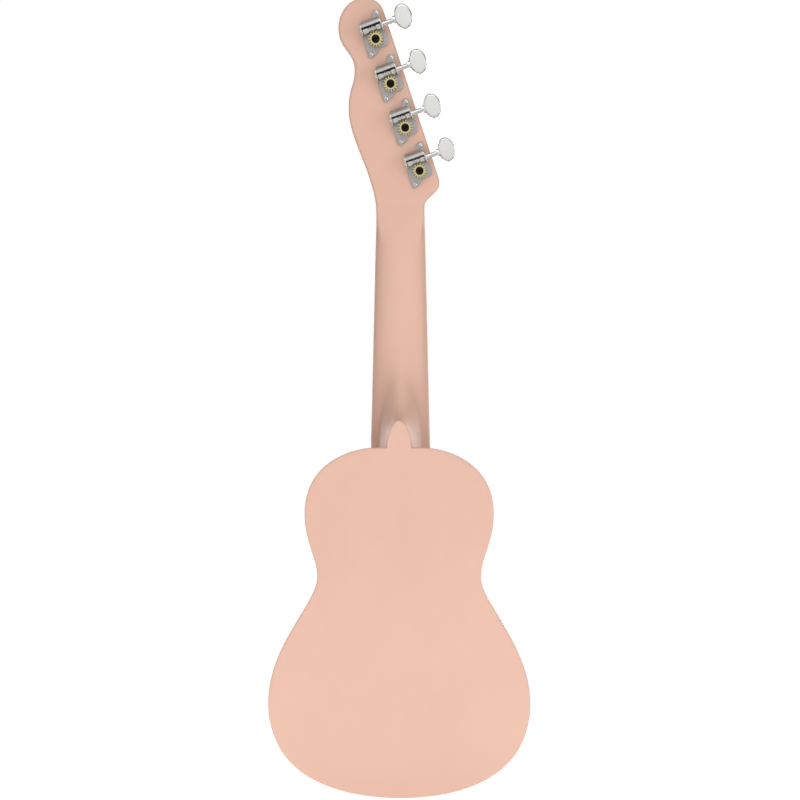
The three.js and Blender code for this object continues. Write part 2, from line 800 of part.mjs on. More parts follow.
function gear() {
  const pitch = (2 * Math.PI) / gearTeeth;
  const corner = (radius, angle) => new THREE.Vector2(radius * Math.cos(angle), radius * Math.sin(angle));
  const points = [];
  for (let i = 0; i < gearTeeth; i += 1) {
    const middle = Math.PI / 2 + i * pitch;
    points.push(corner(gearRootRadius, middle - 0.27 * pitch), corner(gearTipRadius, middle - 0.08 * pitch));
    points.push(corner(gearTipRadius, middle + 0.08 * pitch), corner(gearRootRadius, middle + 0.27 * pitch));
  }
  const depth = gearThickness;
  const wheel = new THREE.ExtrudeGeometry(new THREE.Shape(points), { depth, bevelEnabled: false });
  wheel.translate(0, 0, wormHeight - gearThickness / 2);
  return cut(wheel, rod(gearSeatRadius + runningGap, 0, 2 * wormHeight, 12));
}

function gearTop() {
  return wormHeight + gearThickness / 2;
}

// The string post, from its tip in front of the head to the gear seat behind it.
function stringPost() {
  const front = -headThickness;
  const tip = front - postRise;
  const shoulder = wormHeight - gearThickness / 2 - turnedGap;
  const end = gearTop() - 0.1;
  const bore = 1.05;
  const profile = [
    [0, tip], [postRadius - 0.5, tip], [postRadius, tip + 0.6], [postRadius, tip + 2.4],
    [postWaistRadius, tip + 4], [postWaistRadius, front - 3.8], [postRadius, front - 2.4],
    [postRadius, 0], [gearSeatRadius + 0.6, 0], [gearSeatRadius + 0.6, shoulder],
    [gearSeatRadius, shoulder], [gearSeatRadius, end], [bore, end], [bore, end - 3.2], [0, end - 3.2],
  ];
  const crossHole = rod(0.7, -2 * postRadius, 2 * postRadius, 8).rotateY(Math.PI / 2);
  crossHole.translate(0, 0, tip + 4.6);
  return cut(turned(profile, 16), crossHole);
}

function gearScrew() {
  const seat = gearTop() + turnedGap;
  const shank = 0.75;
  const head = turned([
    [0, seat - 2.8], [shank, seat - 2.8], [shank, seat], [gearScrewRadius, seat],
    [gearScrewRadius, seat + 0.7], [gearScrewRadius - 0.8, seat + 1.3], [0, seat + 1.5],
  ], 12);
  const slot = block(-gearScrewRadius - 1, gearScrewRadius + 1, -0.3, 0.3, seat + 0.8, seat + 3);
  return cut(head, slot);
}

// The ferrule that lines the bore at the head's front and carries the post.
function ferrule() {
  const face = -headThickness - turnedGap;
  const inner = postRadius + runningGap;
  return turned([
    [inner, face - ferruleFlangeThickness], [ferruleFlangeRadius - 0.4, face - ferruleFlangeThickness],
    [ferruleFlangeRadius, face - 0.5], [ferruleFlangeRadius, face], [ferruleRadius, face],
    [ferruleRadius, -headThickness + ferruleDepth], [inner, -headThickness + ferruleDepth],
    [inner, face - ferruleFlangeThickness],
  ], 16);
}

function tuner(index) {
  const { name } = strings[index];
  const group = new THREE.Group();
  const place = tunerPlace(index);
  group.position.set(place.x, place.y, headThickness);
  group.rotation.z = tunerLineTilt;
  group.add(
    named(`${name}_tuner_plate`, tunerPlate(), nickel),
    named(`${name}_worm_shaft`, wormShaft(), nickel),
    named(`${name}_tuner_button`, button(), chrome),
    named(`${name}_worm_gear`, gear(), brass),
    named(`${name}_string_post`, stringPost(), nickel),
    named(`${name}_gear_screw`, gearScrew(), blackSteel),
    named(`${name}_post_ferrule`, ferrule(), nickel),
  );
  return group;
}

// ---------------------------------------------------------------- assembly

function bodyPieces() {
  return [
    named('soundboard', soundboard(), paint),
    named('back_plate', backPlate(), paint),
    named('treble_side', bentSide(1), paint),
    named('bass_side', bentSide(-1), paint),
    named('neck_block', neckBlock(), mahogany),
    named('tail_block', tailBlock(), mahogany),
    named('upper_top_brace', crossBrace(upperTopBraceDrop, soundboardThickness, 1), spruce),
    named('lower_top_brace', crossBrace(lowerTopBraceDrop, soundboardThickness, 1), spruce),
    named('upper_back_brace', crossBrace(upperBackBraceDrop, backInside, -1), spruce),
    named('lower_back_brace', crossBrace(lowerBackBraceDrop, backInside, -1), spruce),
    named('bridge_plate', bridgePlate(), spruce),
    named('bridge', bridge(), walnut),
    named('saddle', saddle(), bone),
  ];
}

function neckPieces() {
  const frets = Array.from({ length: fretCount }, (_, i) => named(`fret_${i + 1}`, fret(i + 1), nickel));
  return [
    named('neck', neck(), paint),
    named('fingerboard', fingerboard(), walnut),
    named('nut', nut(), bone),
    ...frets,
  ];
}

const group = new THREE.Group();
const head = new THREE.Group();
head.applyMatrix4(headFrame());
head.add(...strings.map((_, index) => tuner(index)));
group.add(...bodyPieces(), ...neckPieces(), head);
group.add(...strings.map(({ name }, index) => named(`${name}_string`, string(index), nylon)));

export default group;
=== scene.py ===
"""Looks of a soprano ukulele: fine surfaces and finishes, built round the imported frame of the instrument.

Lengths in the classes are millimetres in the part's own frame: x points to the first-string side, y to the
back and z up the neck, from the nut and the plane of the soundboard's face. A piece's places become metres
when its mesh is made.
"""

import json
import logging
import math
from dataclasses import dataclass, field
from enum import Enum
from typing import Callable, Sequence

import bpy
import numpy as np
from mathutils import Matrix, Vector


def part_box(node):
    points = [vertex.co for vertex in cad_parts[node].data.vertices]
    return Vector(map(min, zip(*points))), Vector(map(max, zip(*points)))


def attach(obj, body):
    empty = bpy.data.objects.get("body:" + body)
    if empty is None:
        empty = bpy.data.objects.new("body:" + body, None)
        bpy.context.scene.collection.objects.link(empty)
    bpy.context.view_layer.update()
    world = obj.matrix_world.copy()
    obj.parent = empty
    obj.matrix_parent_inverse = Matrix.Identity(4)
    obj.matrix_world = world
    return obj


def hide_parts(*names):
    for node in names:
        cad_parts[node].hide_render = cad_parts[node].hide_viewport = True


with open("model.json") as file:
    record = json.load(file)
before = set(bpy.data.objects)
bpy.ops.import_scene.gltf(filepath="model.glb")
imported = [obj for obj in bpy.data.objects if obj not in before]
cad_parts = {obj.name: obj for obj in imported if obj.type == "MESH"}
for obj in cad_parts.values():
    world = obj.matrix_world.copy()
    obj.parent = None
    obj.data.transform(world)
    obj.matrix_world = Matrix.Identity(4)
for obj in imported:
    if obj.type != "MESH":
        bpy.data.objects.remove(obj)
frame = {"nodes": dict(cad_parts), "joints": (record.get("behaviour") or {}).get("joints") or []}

Array = np.ndarray
MM = 0.001
log = logging.getLogger("ukulele")


class Finish(Enum):
    """The finishes of the instrument, by the record's material slots."""

    PAINT = "body_paint"
    BLOCK_WOOD = "block_wood"
    BRACE_WOOD = "brace_wood"
    DARK_WOOD = "dark_wood"
    BONE = "bone"
    NYLON = "nylon"
    FRET_WIRE = "fret_wire"
    NICKEL = "nickel"
    CHROME = "chrome"
    BRASS = "brass"
    DARK_STEEL = "dark_steel"


class Cap(Enum):
    """How a surface is closed beyond its first and last ring."""

    FAN = "triangles to the middle of the ring"
    FACE = "one flat face"
    LOOP = "the last ring joins the first"


class Side(Enum):
    """The two sides of the body: first string and fourth string."""

    TREBLE = 1
    BASS = -1


# ---------------------------------------------------------------- curves


def bezier(handles: Sequence[Sequence[float]], count: int) -> Array:
    """Points of a cubic curve: its four handles weighed by the Bernstein polynomials of the share t.

    Args:
        handles: Start, two handles and end.
        count: Number of points, both ends included.

    Returns:
        Points, one row each.
    """
    start, leave, arrive, end = np.asarray(handles, float)
    t = np.linspace(0, 1, count)[:, None]
    return (1 - t) ** 3 * start + 3 * (1 - t) ** 2 * t * leave + 3 * (1 - t) * t**2 * arrive + t**3 * end


def chained(stretches: Sequence[Array]) -> Array:
    """Stretches of a curve end to end, each shared point kept once."""
    return np.vstack([stretches[0], *[s[1:] for s in stretches[1:]]])


def smoothstep(x: Array, low: float, high: float) -> Array:
    """The share from 0 at low to 1 at high, with flat ends: t squared times (3 - 2t)."""
    t = np.clip((np.asarray(x, float) - low) / (high - low), 0, 1)
    return t * t * (3 - 2 * t)


def unit(v: Array) -> Array:
    """Rows scaled to length one."""
    return v / np.linalg.norm(v, axis=-1, keepdims=True)


def inset(outline: Array, distance: Array | float) -> Array:
    """A closed outline drawn inwards, each point along the bisector of its two edges.

    Args:
        outline: Points (n, 2), without a repeated last point.
        distance: How far, positive inwards; one number or one for each point.

    Returns:
        The moved points.
    """
    before = unit(outline - np.roll(outline, 1, axis=0))
    after = unit(np.roll(outline, -1, axis=0) - outline)
    x, y = outline.T
    turn = np.sign(np.sum(x * np.roll(y, -1) - y * np.roll(x, -1)))
    inward = turn * np.stack([-before[:, 1], before[:, 0]], axis=1)
    following = turn * np.stack([-after[:, 1], after[:, 0]], axis=1)
    bisector = unit(inward + following)
    spread = np.maximum(np.sum(bisector * inward, axis=1, keepdims=True), 0.35)
    return outline + bisector * np.reshape(distance, (-1, 1)) / spread


def filleted(corners: Sequence[Sequence[float]], radius: float, steps: int = 6) -> Array:
    """A closed outline through corners, each rounded by a quadratic curve between points on its edges.

    Args:
        corners: The sharp corners.
        radius: How far from the corner each rounding starts, at most 0.45 of the edge.
        steps: Points on each rounding.

    Returns:
        Points of the outline.
    """
    p = np.asarray(corners, float)
    back, on = np.roll(p, 1, axis=0) - p, np.roll(p, -1, axis=0) - p
    back_length, on_length = (np.linalg.norm(v, axis=1, keepdims=True) for v in (back, on))
    start = p + back * np.minimum(radius / back_length, 0.45)
    end = p + on * np.minimum(radius / on_length, 0.45)
    t = np.linspace(0, 1, steps)[None, :, None]
    curve = (1 - t) ** 2 * start[:, None] + 2 * t * (1 - t) * p[:, None] + t**2 * end[:, None]
    return curve.reshape(-1, 2)


def rounded_path(corners: Array, reach: float, steps: int = 8) -> Array:
    """An open path through corners in space, each inner corner rounded by a quadratic curve.

    Args:
        corners: Points (n, 3).
        reach: How far from each corner its rounding starts, at most 0.45 of the edge.
        steps: Points on each rounding.

    Returns:
        Points of the path.
    """
    p = np.asarray(corners, float)
    inner = p[1:-1]
    back, on = p[:-2] - inner, p[2:] - inner
    back_length, on_length = (np.linalg.norm(v, axis=1, keepdims=True) for v in (back, on))
    start = inner + back * np.minimum(reach / back_length, 0.45)
    end = inner + on * np.minimum(reach / on_length, 0.45)
    t = np.linspace(0, 1, steps)[None, :, None]
    curve = (1 - t) ** 2 * start[:, None] + 2 * t * (1 - t) * inner[:, None] + t**2 * end[:, None]
    return np.vstack([p[:1], curve.reshape(-1, 3), p[-1:]])


# ---------------------------------------------------------------- surfaces


@dataclass
class Skin:
    """A closed surface over rings: points in millimetres, and faces as rows of point numbers."""

    points: Array
    quads: Array
    fans: Array = field(default_factory=lambda: np.zeros((0, 3), int))
    faces: list[list[int]] = field(default_factory=list)
    finish: int = 0

    def placed(self, placement: "Placement") -> "Skin":
        """The same surface, moved from a placement's own axes to the part's frame."""
        return Skin(placement.to_frame(self.points), self.quads, self.fans, self.faces,
                    self.finish).outward()

    def dressed(self, finish: int) -> "Skin":
        """The same surface with another of its piece's finishes."""
        return Skin(self.points, self.quads, self.fans, self.faces, finish)

    def volume(self) -> float:
        """Signed volume: a sixth of the sum of the corners' triple products over the surface's triangles."""
        flats = [[f[0], f[i], f[i + 1]] for f in self.faces for i in range(1, len(f) - 1)]
        triangles = np.vstack([
            self.quads[:, [0, 1, 2]], self.quads[:, [0, 2, 3]], self.fans,
            np.array(flats, int).reshape(-1, 3),
        ])
        a, b, c = (self.points[triangles[:, i]] for i in range(3))
        return float(np.sum(a * np.cross(b, c)) / 6)

    def outward(self) -> "Skin":
        """The same surface with its faces pointing out."""
        if self.volume() >= 0:
            return self
        turned = [face[::-1] for face in self.faces]
        return Skin(self.points, self.quads[:, ::-1], self.fans[:, ::-1], turned, self.finish)


def loft(rings: Array, cap: Cap = Cap.FAN) -> Skin:
    """A surface through closed rings of equally many points, each point joined to its neighbours.

    Args:
        rings: Points (rows, columns, 3); columns close on themselves.
        cap: How the two ends are closed.

    Returns:
        The closed surface.
    """
    rows, columns, _ = rings.shape
    number = np.arange(rows * columns).reshape(rows, columns)
    number = np.hstack([number, number[:, :1]])
    if cap is Cap.LOOP:
        number = np.vstack([number, number[:1]])
    quads = np.stack([number[:-1, :-1], number[:-1, 1:], number[1:, 1:], number[1:, :-1]],
                     axis=-1).reshape(-1, 4)
    points = rings.reshape(-1, 3)
    if cap is Cap.LOOP:
        return Skin(points, quads).outward()
    first, last = number[0], number[-1]
    if cap is Cap.FACE:
        return Skin(points, quads, faces=[first[:-1][::-1].tolist(), last[:-1].tolist()]).outward()
    middles = np.stack([rings[0].mean(axis=0), rings[-1].mean(axis=0)])
    low, high = (np.full(columns, rows * columns + i) for i in (0, 1))
    fans = np.vstack([np.stack([low, first[1:], first[:-1]], axis=1),
                      np.stack([high, last[:-1], last[1:]], axis=1)])
    return Skin(np.vstack([points, middles]), quads, fans).outward()


def edge_profile(low: float, high: float, radius: float, steps: int) -> tuple[Array, Array]:
    """How far a plate's rim is drawn in at each height: a quarter circle at both edges.

    Args:
        low: Height of the lower face.
        high: Height of the upper face.
        radius: Radius of both edges.
        steps: Points on each quarter circle.

    Returns:
        Distances drawn in, and heights, from the upper face's rim to the lower face's.
    """
    turn = np.linspace(0, np.pi / 2, steps)
    drawn, dropped = radius * (1 - np.sin(turn)), radius * (1 - np.cos(turn))
    return np.concatenate([drawn, drawn[::-1]]), np.concatenate([high - dropped, (low + dropped)[::-1]])


def plate(outline: Array, low: float, high: float, radius: float, centre: Array | None = None,
          steps: int = 6) -> Skin:
    """A flat plate with rounded edges: its outline drawn in and lifted along the edge profile.

    Over each face the rim's last ring is either one flat face, or shrinks towards a centre that sees the
    whole outline, which gives a large face an even grid.

    Args:
        outline: Closed outline (n, 2).
        low: Height of the lower face.
        high: Height of the upper face.
        radius: Edge radius.
        centre: Where the face's rings shrink to, or None for one flat face.
        steps: Points on each edge's quarter circle.

    Returns:
        Surface with the outline in x and y and the height in z.
    """
    drawn, heights = edge_profile(low, high, radius, steps)
    rim = np.stack([np.column_stack([inset(outline, d), np.full(len(outline), h)])
                    for d, h in zip(drawn, heights)])
    if centre is None:
        inner = np.column_stack([inset(outline, radius * 1.35), np.zeros(len(outline))])
        first, last = inner + [0, 0, high], inner + [0, 0, low]
        return loft(np.concatenate([[first], rim, [last]]), Cap.FACE)
    shares = np.array([0.02, 0.12, 0.28, 0.45, 0.62, 0.78, 0.9, 0.97])
    middle = np.array([*centre, 0.0])
    over = [middle + (rim[0] - middle) * [s, s, 1] for s in shares]
    under = [middle + (rim[-1] - middle) * [s, s, 1] for s in shares[::-1]]
    return loft(np.concatenate([over, rim, under]))


def turned(profile: Sequence[Sequence[float]], count: int = 32, cap: Cap = Cap.FACE) -> Skin:
    """A turned piece: each profile point (radius, height) carried round the local z axis."""
    radius, height = np.asarray(profile, float).T
    angle = np.arange(count) * 2 * np.pi / count
    rings = np.stack([
        radius[:, None] * np.cos(angle), radius[:, None] * np.sin(angle), height[:, None] * np.ones(count),
    ], axis=-1)
    return loft(rings, cap)


def arc(centre: tuple[float, float], radius: float, start: float, end: float, count: int = 6) -> Array:
    """Points of a circle's arc between two angles in degrees."""
    angle = np.radians(np.linspace(start, end, count))
    return np.stack([centre[0] + radius * np.cos(angle), centre[1] + radius * np.sin(angle)], axis=1)


def rod(path: Array, radius: Array | float, upright: Array, sides: int = 16, cap: Cap = Cap.FAN) -> Skin:
    """A round rod: a circle carried along a path, square to it, one of its axes turned by a fixed upright.

    Args:
        path: Points (n, 3).
        radius: Radius, one number or one for each point.
        upright: A direction never along the path, or one for each point.
        sides: Points on each circle.
        cap: How the ends are closed.

    Returns:
        The closed surface.
    """
    if cap is Cap.LOOP:
        along = unit(np.roll(path, -1, 0) - np.roll(path, 1, 0))
    else:
        along = unit(np.gradient(path, axis=0))
    across = unit(np.cross(along, np.broadcast_to(upright, path.shape)))
    lift = np.cross(across, along)
    angle = np.arange(sides) * 2 * np.pi / sides
    size = np.broadcast_to(radius, (len(path),))[:, None, None]
    circle = np.cos(angle)[None, :, None] * across[:, None] + np.sin(angle)[None, :, None] * lift[:, None]
    return loft(path[:, None] + size * circle, cap)


@dataclass(frozen=True)
class Placement:
    """A set of axes in the part's frame: where local x, y and z point, and their origin in millimetres."""

    origin: Array
    axes: Array

    def to_frame(self, points: Array) -> Array:
        """Points on the local axes, in the part's frame: the origin plus each coordinate times its axis."""
        return self.origin + points @ self.axes


UPRIGHT = Placement(np.zeros(3), np.array([[1.0, 0, 0], [0, 0, 1], [0, 1, 0]]))
"""Lays a plate's outline in the part's x and z, with its height along y."""


# ---------------------------------------------------------------- finishes


class Sketch:
    """A material's node tree, with short calls that add nodes and wire them."""

    def __init__(self, name: str) -> None:
        """Starts a material of this name on a Principled shader that reads Object coordinates."""
        self.material = bpy.data.materials.new(name)
        self.material.use_nodes = True
        self.tree = self.material.node_tree
        self.shader = self.tree.nodes["Principled BSDF"]
        self.place = self.tree.nodes.new("ShaderNodeTexCoord").outputs["Object"]

    def feed(self, socket: bpy.types.NodeSocket, value: object) -> None:
        """Sets a socket to a number or colour, or wires another socket into it."""
        if isinstance(value, bpy.types.NodeSocket):
            self.tree.links.new(value, socket)
        else:
            socket.default_value = value

    def add(self, kind: str, values: dict[str | int, object], **settings: object) -> bpy.types.Node:
        """Adds a node.

        Args:
            kind: Node type.
            values: What each named or numbered input is given.
            settings: The node's own properties.

        Returns:
            The node.
        """
        node = self.tree.nodes.new(kind)
        for name, setting in settings.items():
            setattr(node, name, setting)
        for name, value in values.items():
            self.feed(node.inputs[name], value)
        return node

    def stretched(self, scale: Sequence[float]) -> bpy.types.NodeSocket:
        """Object coordinates scaled along each axis, so that a pattern runs long where the scale is small."""
        return self.add("ShaderNodeMapping", {"Vector": self.place, "Scale": tuple(scale)}).outputs[0]

    def noise(self, scale: float, detail: float = 3, roughness: float = 0.5,
              stretch: Sequence[float] = (1, 1, 1),
              distortion: float = 0) -> bpy.types.NodeSocket:
        """Noise from 0 to 1 whose features are about 1/scale metres wide."""
        values = {"Vector": self.stretched(stretch), "Scale": scale, "Detail": detail,
                  "Roughness": roughness,
                  "Distortion": distortion}
        return self.add("ShaderNodeTexNoise", values).outputs[0]

    def spread(self, value: bpy.types.NodeSocket, low: float, high: float, start: float = 0.3,
               stop: float = 0.7) -> bpy.types.NodeSocket:
        """Carries a value between start and stop to the range from low to high."""
        values = {"Value": value, "From Min": start, "From Max": stop, "To Min": low, "To Max": high}
        return self.add("ShaderNodeMapRange", values).outputs[0]

    def mixed(self, share: object, first: object, second: object,
              blend: str = "MIX") -> bpy.types.NodeSocket:
        """Mixes two colours by a share."""
        values = {0: share, 6: first, 7: second}
        return self.add("ShaderNodeMix", values, data_type="RGBA", blend_type=blend).outputs[2]

    def maths(self, operation: str, first: object, second: object) -> bpy.types.NodeSocket:
        """Sum, product or other operation on two numbers."""
        return self.add("ShaderNodeMath", {0: first, 1: second}, operation=operation).outputs[0]

    def bumped(self, height: bpy.types.NodeSocket, depth: float, under: bpy.types.NodeSocket | None = None,
               strength: float = 1.0) -> bpy.types.NodeSocket:
        """Turns a height from 0 to 1 into a bump of that depth in metres, over a given bump if any."""
        values = {"Height": height, "Distance": depth, "Strength": strength}
        if under is not None:
            values["Normal"] = under
        return self.add("ShaderNodeBump", values).outputs[0]

    def finished(self, **inputs: object) -> bpy.types.Material:
        """Feeds the shader's inputs, whose names have _ for a space, and gives the material."""
        for name, value in inputs.items():
            self.feed(self.shader.inputs[name.replace("_", " ").title().replace("Ior", "IOR")], value)
        return self.material


def shade(colour: Sequence[float], factor: float) -> tuple[float, float, float, float]:
    """A colour made darker or lighter by a factor."""
    r, g, b = (min(1.0, c * factor) for c in colour)
    return (r, g, b, 1.0)


@dataclass(frozen=True)
class SatinPaint:
    """Satin paint over wood: faint mottling, orange peel, and a trace of the grain under it."""

    colour: tuple[float, float, float] = (0.762, 0.474, 0.366)
    roughness: float = 0.54
    coat: float = 0.06
    coat_roughness: float = 0.34
    peel_scale: float = 620
    peel_depth: float = 0.00002
    grain_depth: float = 0.000008

    def build(self) -> bpy.types.Material:
        """Builds the material."""
        s = Sketch("satin_paint")
        mottle = s.noise(14, 3, 0.55)
        fine = s.noise(160, 2, 0.6)
        grain = s.noise(1, 4, 0.6, (900, 900, 22))
        colour = s.mixed(s.spread(mottle, 0, 1), shade(self.colour, 0.975), shade(self.colour, 1.02))
        colour = s.mixed(s.spread(fine, 0, 0.1), colour, shade(self.colour, 0.9))
        wear = s.spread(s.noise(38, 5, 0.62), self.roughness - 0.045, self.roughness + 0.05)
        normal = s.bumped(grain, self.grain_depth)
        normal = s.bumped(s.noise(self.peel_scale, 2, 0.5), self.peel_depth, normal)
        return s.finished(base_color=colour, roughness=wear, coat_weight=self.coat,
                          coat_roughness=self.coat_roughness, normal=normal)


@dataclass(frozen=True)
class Wood:
    """Open-grained wood: growth bands, long fibres and dark pores that all run along one axis."""

    name: str
    colour: tuple[float, float, float]
    dark: float
    along: int
    pores: float = 0.5
    roughness: float = 0.5
    band_scale: float = 150
    fibre_scale: float = 900

    def build(self) -> bpy.types.Material:
        """Builds the material."""
        s = Sketch(self.name)
        run = [1.0, 1.0, 1.0]
        run[self.along] = 0.035
        slow = [1.0, 1.0, 1.0]
        slow[self.along] = 0.09
        bands = s.noise(self.band_scale, 4, 0.6, slow, 0.9)
        fibres = s.noise(self.fibre_scale, 3, 0.55, run)
        pores = s.spread(s.noise(self.fibre_scale * 1.9, 1, 0.4, run), 0, 1, 0.62, 0.7)
        colour = s.mixed(s.spread(bands, 0, 1), shade(self.colour, self.dark), shade(self.colour, 1.12))
        colour = s.mixed(s.spread(fibres, 0, 0.45), colour, shade(self.colour, self.dark * 0.8))
        colour = s.mixed(s.maths("MULTIPLY", pores, self.pores), colour,
                         shade(self.colour, self.dark * 0.35))
        rough = s.spread(fibres, self.roughness - 0.06, self.roughness + 0.09)
        normal = s.bumped(fibres, 0.00003)
        normal = s.bumped(s.maths("SUBTRACT", 1.0, pores), 0.00006 * self.pores, normal)
        return s.finished(base_color=colour, roughness=rough, normal=normal, specular_ior_level=0.4)


@dataclass(frozen=True)
class Metal:
    """Plated or plain metal: tumbled grain, fine scratches, tarnish in patches."""

    name: str
    colour: tuple[float, float, float]
    roughness: float
    tumbled: float = 0.0
    scratches: float = 0.3
    tarnish: float = 0.12
    patch_scale: float = 260

    def build(self) -> bpy.types.Material:
        """Builds the material."""
        s = Sketch(self.name)
        patches = s.noise(self.patch_scale, 4, 0.6)
        grain = s.noise(5200, 2, 0.6)
        lines = s.noise(1, 2, 0.5, (9000, 700, 9000))
        colour = s.mixed(s.spread(patches, 0, self.tarnish), shade(self.colour, 1.0),
                         shade(self.colour, 0.45))
        colour = s.mixed(s.spread(grain, 0, 0.35 * self.tumbled), colour, shade(self.colour, 0.6))
        rough = s.maths("ADD", s.spread(patches, -0.02, 0.05),
                        s.spread(grain, self.roughness, self.roughness + 0.06))
        normal = s.bumped(lines, 0.0000012 * self.scratches)
        normal = s.bumped(grain, 0.00001 * (0.04 + self.tumbled), normal)
        return s.finished(base_color=colour, metallic=1.0, roughness=rough, normal=normal)


@dataclass(frozen=True)
class Polymer:
    """Bone, nylon or pearl: a pale solid with faint streaks, a soft depth and a polished skin."""

    name: str
    colour: tuple[float, float, float]
    second: tuple[float, float, float]
    roughness: float = 0.28
    depth: float = 0.15
    through: float = 0.0
    streak: tuple[float, float, float] = (500, 120, 500)

    def build(self) -> bpy.types.Material:
        """Builds the material."""
        s = Sketch(self.name)
        streaks = s.noise(1, 4, 0.6, self.streak, 0.6)
        fine = s.noise(2600, 2, 0.5)
        colour = s.mixed(s.spread(streaks, 0, 1), (*self.colour, 1), (*self.second, 1))
        rough = s.spread(fine, self.roughness - 0.04, self.roughness + 0.06)
        s.shader.inputs["Subsurface Radius"].default_value = (0.0012, 0.001, 0.0008)
        s.shader.inputs["Subsurface Scale"].default_value = 1.0
        return s.finished(base_color=colour, roughness=rough, subsurface_weight=self.depth,
                          transmission_weight=self.through, normal=s.bumped(fine, 0.000004))


@dataclass(frozen=True)
class GlowingPaleFloor:
    """Plain pale studio floor with a painted glow: emission, weaker under the instrument and full further
    out, as a lit sweep brightens. It washes out the floor's cast shadow and lights the body's lower end.
    """

    colour: tuple[float, float, float] = (0.95, 0.95, 0.95)
    near: float = -0.12
    far: float = 0.15
    glow: float = 1.4

    def build(self) -> bpy.types.Material:
        """Builds the material."""
        s = Sketch("glowing_pale_floor")
        away = s.add("ShaderNodeVectorMath", {0: s.stretched((1, 1, 0))},
                     operation="LENGTH").outputs["Value"]
        # Painted light: the floor's emitted glow hides the instrument's shadow on it and lights the body from
        # below; mirror rays do not see it.
        glow = s.spread(away, 0, 1, self.near, self.far)
        light = s.add("ShaderNodeEmission", {"Color": (1, 1, 1, 1), "Strength": self.glow}).outputs[0]
        fleck = s.spread(s.noise(60, 3), 0.5, 0.6)
        s.finished(base_color=(*self.colour, 1), roughness=fleck)
        mirrored = s.add("ShaderNodeLightPath", {}).outputs["Is Glossy Ray"]
        glow = s.maths("MULTIPLY", glow, s.maths("SUBTRACT", 1.0, mirrored))
        mixed = s.add("ShaderNodeMixShader", {0: glow, 1: s.shader.outputs[0], 2: light}).outputs[0]
        s.tree.links.new(mixed, s.tree.nodes["Material Output"].inputs["Surface"])
        return s.material


class Palette:
    """Every material of the instrument, each built once."""

    def __init__(self) -> None:
        """Builds the materials."""
        self.by_finish: dict[Finish, bpy.types.Material] = {
            Finish.PAINT: SatinPaint().build(),
            Finish.BLOCK_WOOD: Wood("block_mahogany", (0.30, 0.13, 0.065), 0.6, 2, roughness=0.6).build(),
            Finish.BRACE_WOOD: Wood("brace_spruce", (0.68, 0.47, 0.25), 0.72, 0, 0.1, 0.62, 320).build(),
            Finish.DARK_WOOD: Wood("board_walnut", (0.105, 0.052, 0.03), 0.5, 2).build(),
            Finish.BONE: Polymer("polished_bone", (0.83, 0.78, 0.66), (0.76, 0.69, 0.55)).build(),
            Finish.NYLON: Polymer("clear_nylon", (0.86, 0.86, 0.83), (0.8, 0.8, 0.77), 0.2, 0.1,
                                  0.3).build(),
            Finish.FRET_WIRE: Metal("fret_wire", (0.70, 0.68, 0.63), 0.2, scratches=0.6).build(),
            Finish.NICKEL: Metal("plated_nickel", (0.76, 0.745, 0.72), 0.22, 0.3, 0.5).build(),
            Finish.CHROME: Metal("polished_chrome", (0.90, 0.90, 0.885), 0.13, 0.0, 0.2, 0.04).build(),
            Finish.BRASS: Metal("cut_brass", (0.86, 0.74, 0.38), 0.3, 0.15, 0.5).build(),
            Finish.DARK_STEEL: Metal("blackened_steel", (0.022, 0.018, 0.018), 0.34, 0.3, 0.4).build(),
        }
        self.tumbled = Metal("tumbled_nickel", (0.60, 0.585, 0.58), 0.42, 1.0, 0.3, 0.3, 700).build()
        self.bridge_wood = Wood("bridge_walnut", (0.105, 0.052, 0.03), 0.5, 0).build()
        self.lining_wood = Wood("lining_basswood", (0.60, 0.42, 0.25), 0.75, 2, 0.1, 0.65).build()
        self.pearl = Polymer("dot_pearl", (0.82, 0.80, 0.76), (0.72, 0.78, 0.76), 0.16, 0.2, 0.0,
                             (900, 900, 900)).build()
        self.cream = Polymer("ring_cream", (0.80, 0.72, 0.56), (0.76, 0.67, 0.5)).build()
        self.ebony = Wood("ring_ebony", (0.025, 0.017, 0.014), 0.6, 2, 0.3).build()


# ---------------------------------------------------------------- pieces


